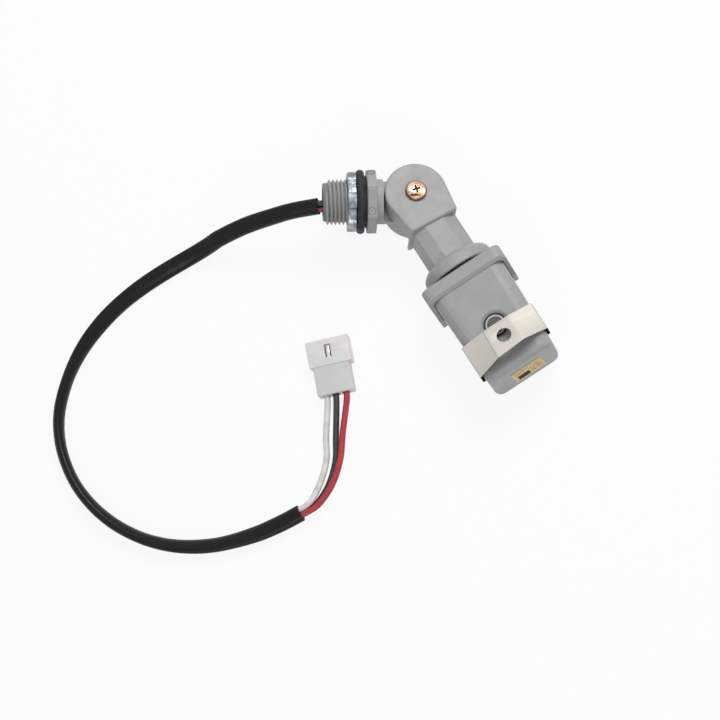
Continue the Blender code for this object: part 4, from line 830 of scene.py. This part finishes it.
def window_painted_shade(look):
    """Painted shade: darker round the window's recess, and a little on the front between it and the
    head's end, under the shield.
    """
    x, y, z = look.split(look.mapped(move=WINDOW_MIDDLE))
    # painted shade in the recess round the window
    near = look.ramp(look.distance(x, y), 5.6 * MM, 7.2 * MM, 0.45, 0.0)
    # painted shadow of the shield on the front below the window
    under_shield_shade = look.times(
        look.ramp(y, -8 * MM, -4 * MM, 0.22, 0.0), look.ramp(y, -20 * MM, -17 * MM)
    )
    return look.times(look.math("MAXIMUM", near, under_shield_shade), look.ramp(z, -1.4 * MM, -0.4 * MM))


def thread_valley_painted_shade(look):
    """Painted shade, darker in the thread's valleys."""
    x, y, z = look.split(look.mapped(move=PIVOT, turn=NIPPLE.to_euler()))
    valley = look.ramp(look.distance(x, y), 9.05 * MM, 9.75 * MM, 0.66, 0.0)
    return look.times(valley, look.ramp(z, 22.3 * MM, 23.3 * MM))


def plastic(name, color, roughness=0.5, painted_shade=None):
    """Satin moulded plastic: cloudy tone, fine grain, a few specks, faint scuffs and any painted
    shade that is given.
    """
    look = Look(name)
    tone = look.mix(look.patches(95), shade_of(color, 0.95), shade_of(color, 1.05))
    tone = look.mix(look.patches(1700, last=0.35, detail=2), tone, shade_of(color, 1.06))
    specks = look.patches(620, 0.76, 0.8, last=0.45, detail=1, roughness=0.5)
    tone = look.mix(specks, tone, shade_of(color, 0.55))
    across = look.mapped((90, 900, 300), (0.4, 0.2, 0.7))
    scuffs = look.patches(1.0, 0.66, 0.74, last=0.28, coords=across)
    tone = look.mix(scuffs, tone, shade_of(color, 1.22))
    # darken where the given mask of painted shade falls
    if painted_shade:
        tone = look.mix(painted_shade(look), tone, shade_of(color, 0.3))
    rough = look.patches(240, 0.25, 0.75, roughness - 0.07, roughness + 0.07, detail=4)
    normal = look.bump(look.noise(210, 2, 0.5), 0.05, 0.5)
    normal = look.bump(look.noise(2600), 0.02, 0.6, normal)
    return look.finish(tone, rough, normal)


def rubber(name, color):
    """Black rubber with a dusty bloom and a fine rough skin."""
    look = Look(name, Specular_IOR_Level=0.3)
    bloom = look.patches(320, 0.4, 0.72, detail=4, roughness=0.65)
    tone = look.mix(bloom, color, shade_of(color, 1.9))
    lint = look.patches(1500, 0.74, 0.79, last=0.3, detail=1, roughness=0.5)
    tone = look.mix(lint, tone, (0.16, 0.155, 0.15))
    normal = look.bump(look.noise(1400, 4, 0.65), 0.04, 0.7)
    return look.finish(tone, look.patches(500, first=0.54, last=0.74), normal)


def zinc(name, color, roughness):
    """Bright zinc plate over a rough stamping: blue and grey patches, pits and rubbed places."""
    look = Look(name, Metallic=1.0)
    spots = look.patches(260, 0.35, 0.65, distortion=0.4)
    tone = look.mix(spots, shade_of(color, 0.5), shade_of(color, 1.3))
    aside = look.mapped(move=(0.3, 0.1, 0.2))
    blue = look.patches(330, 0.52, 0.66, last=0.55, detail=2, roughness=0.5, coords=aside)
    tone = look.mix(blue, tone, (0.25, 0.33, 0.41))
    tone = look.mix(look.ramp(look.cells(1500), 0.1, 0.22, 0.5, 0.0), tone, shade_of(color, 0.35))
    rough = look.patches(700, first=roughness - 0.1, last=roughness + 0.16, detail=4)
    normal = look.bump(look.noise(520, 5, 0.65), 0.12, 0.7)
    normal = look.bump(look.noise(2400), 0.03, 0.6, normal)
    return look.finish(tone, rough, normal)


# Painted reflections on the screw's dome, two bright highlights and one dark: middle and half size in
# millimetres, share and colour
SCREW_PAINTED_REFLECTIONS = (
    ((-2.6, 0.1), (1.1, 1.6), 0.95, (1.0, 0.95, 0.88)),
    ((3.3, -0.9), (1.1, 1.9), 0.9, (1.0, 0.92, 0.80)),
    ((-0.7, -2.8), (2.3, 0.8), 0.95, (0.075, 0.05, 0.045)),
)


def copper(name):
    """Copper plate: a brown rim, two painted highlights, a painted dark reflection below the cross,
    painted shade in the cross.
    """
    look = Look(name, Metallic=1.0)
    knuckle = look.mapped(move=PIVOT, turn=(0, KNUCKLE_TURN, 0))
    x, y, z = look.split(look.mapped(turn=(0, 0, math.radians(-30.5)), coords=knuckle))
    radius = look.distance(x, y)
    ragged = look.math("MULTIPLY_ADD", look.noise(900), 1.4 * MM, -0.7 * MM)
    tarnish = look.patches(420, 0.4, 0.66, detail=4, roughness=0.65, distortion=0.5)
    tone = look.mix(tarnish, (0.84, 0.55, 0.37), (0.50, 0.26, 0.16))
    tone = look.mix(look.patches(900, 0.58, 0.7, last=0.6), tone, (0.95, 0.78, 0.62))
    # painted highlights and a painted dark reflection on the dome
    for middle, half, share, color in SCREW_PAINTED_REFLECTIONS:
        along, down = (
            look.math("MULTIPLY_ADD", value, 1 / size, -place * MM / size)
            for value, place, size in zip((x, y), middle, half)
        )
        far = look.math("ADD", look.distance(along, down), ragged)
        tone = look.mix(look.ramp(far, 0.55 * MM, 1.15 * MM, share, 0.0), tone, color)
    edge = look.math("ADD", radius, look.times(ragged, 0.3))
    tone = look.mix(look.ramp(edge, 4.0 * MM, 4.65 * MM, 0.0, 0.9), tone, (0.13, 0.065, 0.045))
    # painted shade deep in the cross recess
    cross_shade_depth = look.ramp(z, 12.5 * MM, 13.0 * MM, 0.96, 0.0)
    near = look.ramp(radius, 2.3 * MM, 2.6 * MM, 1.0, 0.0)
    tone = look.mix(look.times(cross_shade_depth, near), tone, (0.03, 0.014, 0.012))
    rough = look.patches(650, first=0.2, last=0.4)
    return look.finish(tone, rough, look.bump(look.noise(480, 4), 0.07, 0.6))


def stainless(name, color):
    """Brushed stainless: streaks along the strip, soft clouds, fine nicks, painted shade on the side
    flanges' lower ends and a painted shade line along one fold.
    """
    look = Look(name, Metallic=1.0)
    streaks = look.noise(1.0, 4, 0.7, look.mapped((60, 5200, 60)))
    tone = look.mix(look.ramp(streaks, 0.3, 0.7), shade_of(color, 0.965), shade_of(color, 1.035))
    tone = look.mix(look.patches(85, last=0.4), tone, shade_of(color, 0.93))
    along = look.mapped((250, 2600, 300), (0.1, 0.3, 0.5))
    nicks = look.patches(1.0, 0.74, 0.78, last=0.5, detail=2, roughness=0.5, coords=along)
    tone = look.mix(nicks, tone, shade_of(color, 0.6))
    # painted shade, near black, on the lower ends of the side flanges
    x, y, z = look.split(look.mapped(move=PIVOT))
    away = look.math("ABSOLUTE", x)
    reach = look.math("SUBTRACT", look.times(x, SHIELD_SLANT), y)
    end = SHIELD_START + SHIELD_REACH
    cut = look.ramp(reach, end - 0.5 * MM, end - 0.2 * MM)
    inner = look.times(
        look.ramp(away, 17.95 * MM, 18.05 * MM, 1.0, 0.0),
        look.ramp(reach, end - 3.5 * MM, end - 2.5 * MM),
    )
    side = look.times(
        look.ramp(away, 17.0 * MM, 17.4 * MM), look.ramp(z, 13.2 * MM, 13.8 * MM, 1.0, 0.0)
    )
    tone = look.mix(look.times(look.math("MAXIMUM", cut, inner), side), tone, (0.012, 0.011, 0.012))
    # The fold's place grows by 0.047 of the way down the strip; a painted shade line runs along that
    # fold
    fold = look.math("MULTIPLY_ADD", reach, 0.047, SHIELD_TOP[0] - 0.047 * SHIELD_START)
    beside = look.math("ABSOLUTE", look.math("ADD", x, fold))
    fold_shade_line = look.ramp(beside, 0.08 * MM, 0.4 * MM, 0.45, 0.0)
    tone = look.mix(fold_shade_line, tone, shade_of(color, 0.35))
    rough = look.patches(1.0, 0.25, 0.75, 0.6, 0.72, coords=look.mapped((30, 3000, 60)))
    normal = look.bump(streaks, 0.012, 0.6)
    normal = look.bump(look.noise(150, 2, 0.5), 0.06, 0.4, normal)
    return look.finish(tone, rough, normal)


def cable(name, color, roughness, dust, specular=0.5):
    """Extruded vinyl: faint blotches, a soft sheen and a little dust."""
    look = Look(name, Specular_IOR_Level=specular)
    tone = look.mix(look.patches(180), shade_of(color, 0.88), shade_of(color, 1.14))
    dusty = look.patches(900, 0.6, 0.78, last=dust, detail=4, roughness=0.7)
    tone = look.mix(dusty, tone, tuple(c * 0.6 + 0.12 for c in color))
    rough = look.patches(420, first=roughness - 0.08, last=roughness + 0.12, detail=4)
    normal = look.bump(look.noise(260, 2, 0.5), 0.08, 0.45)
    normal = look.bump(look.noise(2200), 0.015, 0.5, normal)
    return look.finish(tone, rough, normal)


def nylon(name):
    """Milky moulded nylon: cloudy, waxy, greyer at the rear and where it is thick."""
    look = Look(name, Subsurface_Weight=0.25, Subsurface_Scale=0.004)
    tone = look.mix(look.patches(190, detail=4), (0.80, 0.79, 0.765), (0.89, 0.88, 0.86))
    along = look.split(look.mapped(move=PLUG.translation, turn=(0, 0, PLUG_TURN)))[1]
    tone = look.mix(look.ramp(along, 13.2 * MM, 14.2 * MM, 0.75, 0.0), tone, (0.70, 0.70, 0.705))
    thick = look.patches(520, 0.55, 0.75, last=0.4, distortion=0.3)
    tone = look.mix(thick, tone, (0.66, 0.66, 0.655))
    normal = look.bump(look.noise(260), 0.1, 0.4)
    normal = look.bump(look.noise(1900, 2, 0.5), 0.02, 0.5, normal)
    return look.finish(tone, look.patches(350, first=0.3, last=0.48), normal)


def lens_look(name):
    """Smoky lens over a cell whose fine comb lines show through."""
    look = Look(name, Coat_Weight=0.6, Coat_Roughness=0.06, IOR=1.49)
    x, y = look.split(look.mapped(move=WINDOW_MIDDLE))[:2]
    lines = look.ramp(look.math("SINE", look.times(y, 2 * math.pi / (1.05 * MM))), 0.45, 0.85)
    inside = look.ramp(look.math("ABSOLUTE", x), 2.2 * MM, 2.6 * MM, 1.0, 0.0)
    tone = look.mix(look.patches(420), (0.045, 0.046, 0.052), (0.075, 0.076, 0.082))
    tone = look.mix(look.times(lines, inside), tone, (0.19, 0.19, 0.195))
    normal = look.bump(look.noise(300, 2, 0.5), 0.05, 0.3)
    return look.finish(tone, look.patches(500, first=0.12, last=0.26), normal)


def label_look(name):
    """Tan film with a plain dark block and rows of marks that say nothing."""
    look = Look(name, Specular_IOR_Level=0.0)
    corner = HEAD @ (Vector((*LABEL_CORNERS[3], 96.1)) * MM)
    x, _, z = look.split(look.mapped(move=corner, turn=(0, math.radians(-5), 0)))
    u, v = (look.times(value, 1 / size) for value, size in zip((x, z), LABEL_SIZE))

    def inside(value, low, high):
        rise = look.ramp(value, low - 0.008, low + 0.008)
        return look.times(rise, look.ramp(value, high - 0.008, high + 0.008, 1.0, 0.0))

    def area(u_low, u_high, v_low, v_high):
        return look.times(inside(u, u_low, u_high), inside(v, v_low, v_high))

    tone = look.mix(look.patches(240), (0.80, 0.625, 0.345), (0.90, 0.72, 0.42))
    worn = look.patches(700, 0.6, 0.75, last=0.4, detail=4, roughness=0.65)
    tone = look.mix(worn, tone, (0.92, 0.82, 0.60))
    rows = look.times(v, 11.0)
    part = look.math("FRACT", rows)
    row_mask = look.times(look.ramp(part, 0.18, 0.3), look.ramp(part, 0.62, 0.74, 1.0, 0.0))
    row_shift = look.times(look.math("FLOOR", rows), 7.3)
    marks = look.add("CombineXYZ", {0: look.times(u, 46.0), 1: row_shift}).outputs[0]
    ticks = look.patches(1.0, 0.47, 0.55, detail=1, roughness=0.5, coords=marks)
    fields = look.math("MAXIMUM", area(0.10, 0.9, 0.62, 0.92), area(0.56, 0.92, 0.2, 0.62))
    tone = look.mix(look.times(ticks, row_mask, fields, 0.85), tone, (0.11, 0.06, 0.04))
    dark = area(0.12, 0.5, 0.14, 0.5)
    tone = look.mix(look.times(dark, 0.95), tone, (0.045, 0.045, 0.065))
    normal = look.bump(look.noise(420), 0.04, 0.4)
    return look.finish(tone, look.patches(500, first=0.38, last=0.55), normal)


def board_look(name):
    """Green laminate with a weave, darker traces and small pads."""
    look = Look(name, Coat_Weight=0.2, Coat_Roughness=0.3)
    weave = look.times(*(look.math("SINE", look.times(way, 9000.0)) for way in look.split()[:2]))
    tone = look.mix(look.ramp(weave, -0.6, 0.6, 0.0, 0.4), (0.035, 0.15, 0.07), (0.05, 0.21, 0.09))
    traces = look.ramp(look.cells(210, "DISTANCE_TO_EDGE"), 0.06, 0.1, 1.0, 0.0)
    tone = look.mix(traces, tone, (0.09, 0.30, 0.13))
    tone = look.mix(look.ramp(look.cells(260), 0.16, 0.2, 1.0, 0.0), tone, (0.55, 0.54, 0.5))
    return look.finish(tone, look.patches(600, first=0.35, last=0.5), look.bump(traces, 0.03, 0.6))


def banded(name, node, color, bands, axis):
    """A small axial part with painted bands at places from its middle along an axis."""
    look = Look(name, Coat_Weight=0.2, Coat_Roughness=0.2)
    low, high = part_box(node)
    along = look.split(look.mapped(move=(Vector(low) + Vector(high)) / 2))[axis]
    tone = look.mix(look.patches(500), shade_of(color, 0.85), shade_of(color, 1.15))
    for place, half, paint in bands:
        near = look.math("ABSOLUTE", look.math("SUBTRACT", along, place * MM))
        band = look.ramp(near, (half - 0.08) * MM, (half + 0.08) * MM, 1.0, 0.0)
        tone = look.mix(band, tone, paint)
    rough = look.patches(700, first=0.37, last=0.53)
    return look.finish(tone, rough, look.bump(look.noise(900), 0.04, 0.5))


def cell_look(name):
    """The light cell: lacquered disc with a comb track across its front."""
    look = Look(name, Coat_Weight=0.5, Coat_Roughness=0.15)
    x = look.split(look.mapped(move=WINDOW_MIDDLE))[0]
    comb = look.ramp(look.math("SINE", look.times(x, 2 * math.pi / (0.7 * MM))), -0.2, 0.2)
    tone = look.mix(comb, (0.5, 0.22, 0.08), (0.68, 0.6, 0.46))
    cloud = look.patches(700, last=0.3)
    tone = look.mix(cloud, tone, (0.4, 0.17, 0.06))
    return look.finish(tone, look.ramp(cloud, 0, 0.3, 0.3, 0.45), look.bump(comb, 0.03, 0.6))


GREY = (0.395, 0.39, 0.388)
GREY_HEAD = (0.385, 0.388, 0.392)
NIPPLE_GREY = plastic("plastic_nipple", shade_of(GREY, 0.98), painted_shade=thread_valley_painted_shade)
MARK_GREY = plastic("plastic_marks", shade_of(GREY, 0.66))
SEAL_RUBBER = rubber("rubber_seal", (0.02, 0.02, 0.022))
SMALL_ZINC = zinc("zinc_small", (0.66, 0.665, 0.66), 0.36)
TIN = zinc("tinned_terminal", (0.62, 0.585, 0.52), 0.4)
SLEEVE_BLACK = cable("vinyl_sleeve", (0.006, 0.006, 0.007), 0.27, 0.05, 0.2)
WIRE_LOOKS = {
    "white": cable("vinyl_white", (0.80, 0.79, 0.765), 0.42, 0.1),
    "black": cable("vinyl_black", (0.035, 0.035, 0.04), 0.4, 0.15),
    "red": cable("vinyl_red", (0.45, 0.035, 0.05), 0.38, 0.1),
}
RESISTOR_BANDS = (
    (-2.2, 0.4, (0.35, 0.16, 0.05)), (-0.9, 0.35, (0.02, 0.02, 0.02)),
    (0.4, 0.35, (0.6, 0.25, 0.03)), (2.3, 0.35, (0.5, 0.38, 0.12)),
)
DIODE_BANDS = ((1.3, 0.4, (0.6, 0.6, 0.6)),)

LOOKS = {
    "nipple_body": NIPPLE_GREY,
    "gasket": rubber("rubber_gasket", (0.019, 0.019, 0.022)),
    "locknut": zinc("zinc_locknut", (0.38, 0.395, 0.41), 0.46),
    "pivot_nut": SMALL_ZINC,
    "lock_washer": SMALL_ZINC,
    "pivot_screw": copper("copper_screw"),
    "swivel_arm": plastic("plastic_arm", GREY),
    "retaining_ring": SMALL_ZINC,
    "swivel_seal": SEAL_RUBBER,
    "head_cap": plastic("plastic_cap", GREY_HEAD),
    "head_body": plastic("plastic_head", GREY_HEAD, painted_shade=window_painted_shade),
    "lens": lens_look("smoky_lens"),
    "lens_seal": SEAL_RUBBER,
    "rating_label": label_look("label_film"),
    "circuit_board": board_look("green_laminate"),
    "photo_sensor": cell_look("light_cell"),
    "relay": plastic("relay_case", (0.03, 0.03, 0.034), 0.42),
    "film_capacitor": plastic("film_capacitor_case", (0.62, 0.46, 0.08), 0.45),
    "can_capacitor": cable("can_sleeve", (0.03, 0.035, 0.06), 0.32, 0.1),
    "varistor": plastic("varistor_dip", (0.05, 0.13, 0.38), 0.4),
    "dropper_resistor": banded(
        "resistor_paint", "dropper_resistor", (0.56, 0.45, 0.30), RESISTOR_BANDS, 0
    ),
    "connector_housing": nylon("milky_nylon"),
}
for diode in ("diode_1", "diode_2"):
    LOOKS[diode] = banded(diode + "_paint", diode, (0.028, 0.028, 0.03), DIODE_BANDS, 1)
for color, look in WIRE_LOOKS.items():
    LOOKS["terminal_" + color] = TIN
    for kind in ("lead_", "board_lead_", "wire_"):
        LOOKS[kind + color] = look


def dress(piece, material):
    piece.data.materials.clear()
    piece.data.materials.append(material)


def dress_nodes():
    for name, material in LOOKS.items():
        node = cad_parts[name]
        for slot in node.material_slots:
            slot.material = material
        if not node.material_slots:
            node.data.materials.append(material)


dress_nodes()
dress(SLEEVE, SLEEVE_BLACK)
for color, (wire, _) in FAR_WIRES.items():
    dress(wire, WIRE_LOOKS[color])
    dress(LEADS[color], WIRE_LOOKS[color])
    dress(PLUG_TERMINALS[color], TIN)
dress(THREAD, NIPPLE_GREY)
for mark in MARKS:
    dress(mark, MARK_GREY)
dress(SCREW, LOOKS["pivot_screw"])
dress(PLUG_HOUSING, LOOKS["connector_housing"])
dress(LABEL, LOOKS["rating_label"])
dress(SHIELD, stainless("brushed_stainless", (0.575, 0.545, 0.505)))
dress(WINDOW_RING, plastic("pale_ring", (0.56, 0.56, 0.58), 0.4))


# Floor, lamps and world


def white_for_rays(tree):
    """A value of 1 for camera, glossy and transmission rays."""
    rays = tree.nodes.new("ShaderNodeLightPath").outputs
    white = rays["Is Camera Ray"]
    for name in ("Is Glossy Ray", "Is Transmission Ray"):
        either = tree.nodes.new("ShaderNodeMath")
        either.operation = "MAXIMUM"
        tree.links.new(white, either.inputs[0])
        tree.links.new(rays[name], either.inputs[1])
        white = either.outputs[0]
    return white


FLOOR_SIZE = 3.0
FLOOR_GLOW = 0.9
WORLD_FILL = 0.37


def make_floor():
    """A pale floor that shows white to the camera and keeps a share of the shadows."""
    model = bmesh.new()
    bmesh.ops.create_grid(model, x_segments=2, y_segments=2, size=FLOOR_SIZE / 2)
    mesh = bpy.data.meshes.new("floor")
    model.to_mesh(mesh)
    model.free()
    floor = bpy.data.objects.new("floor", mesh)
    SCENE.collection.objects.link(floor)
    material = bpy.data.materials.new("pale_floor")
    material.use_nodes = True
    tree = material.node_tree
    shader = tree.nodes["Principled BSDF"]
    shader.inputs["Roughness"].default_value = 0.9
    shader.inputs["Specular IOR Level"].default_value = 0.0
    noise = tree.nodes.new("ShaderNodeTexNoise")
    noise.inputs["Scale"].default_value = 40
    mix = tree.nodes.new("ShaderNodeMix")
    mix.data_type = "RGBA"
    mix.inputs[6].default_value = (0.88, 0.88, 0.88, 1)
    mix.inputs[7].default_value = (0.9, 0.9, 0.9, 1)
    tree.links.new(noise.outputs["Fac"], mix.inputs[0])
    tree.links.new(mix.outputs[2], shader.inputs["Base Color"])
    glow = tree.nodes.new("ShaderNodeEmission")
    share = tree.nodes.new("ShaderNodeMath")
    share.operation = "MULTIPLY"
    share.inputs[1].default_value = FLOOR_GLOW
    tree.links.new(white_for_rays(tree), share.inputs[0])
    blend = tree.nodes.new("ShaderNodeMixShader")
    tree.links.new(share.outputs[0], blend.inputs[0])
    tree.links.new(shader.outputs[0], blend.inputs[1])
    tree.links.new(glow.outputs[0], blend.inputs[2])
    tree.links.new(blend.outputs[0], tree.nodes["Material Output"].inputs["Surface"])
    mesh.materials.append(material)


def make_lamp(name, direction, distance, size, power):
    data = bpy.data.lights.new(name, "AREA")
    data.shape = "DISK"
    data.size = size
    data.energy = power
    lamp = bpy.data.objects.new(name, data)
    SCENE.collection.objects.link(lamp)
    direction = Vector(direction).normalized()
    middle = (CAD_LOW + CAD_HIGH) / 2
    turn = direction.to_track_quat("Z", "Y").to_matrix().to_4x4()
    lamp.matrix_world = Matrix.Translation(middle + direction * distance) @ turn


def make_world():
    world = bpy.data.worlds.new("studio")
    SCENE.world = world
    world.use_nodes = True
    tree = world.node_tree
    background = tree.nodes["Background"]
    background.inputs["Color"].default_value = (1, 1, 1, 1)
    strength = tree.nodes.new("ShaderNodeMapRange")
    strength.inputs["To Min"].default_value = WORLD_FILL
    strength.inputs["To Max"].default_value = 1.0
    tree.links.new(white_for_rays(tree), strength.inputs["Value"])
    tree.links.new(strength.outputs["Result"], background.inputs["Strength"])


make_floor()
make_lamp("key", (0.55, 0.3, 0.75), 1.3, 0.7, 8.4)
make_lamp("fill", (-0.4, -0.75, 0.55), 1.6, 1.0, 4.2)
make_world()

SCENE.view_settings.view_transform = "Standard"
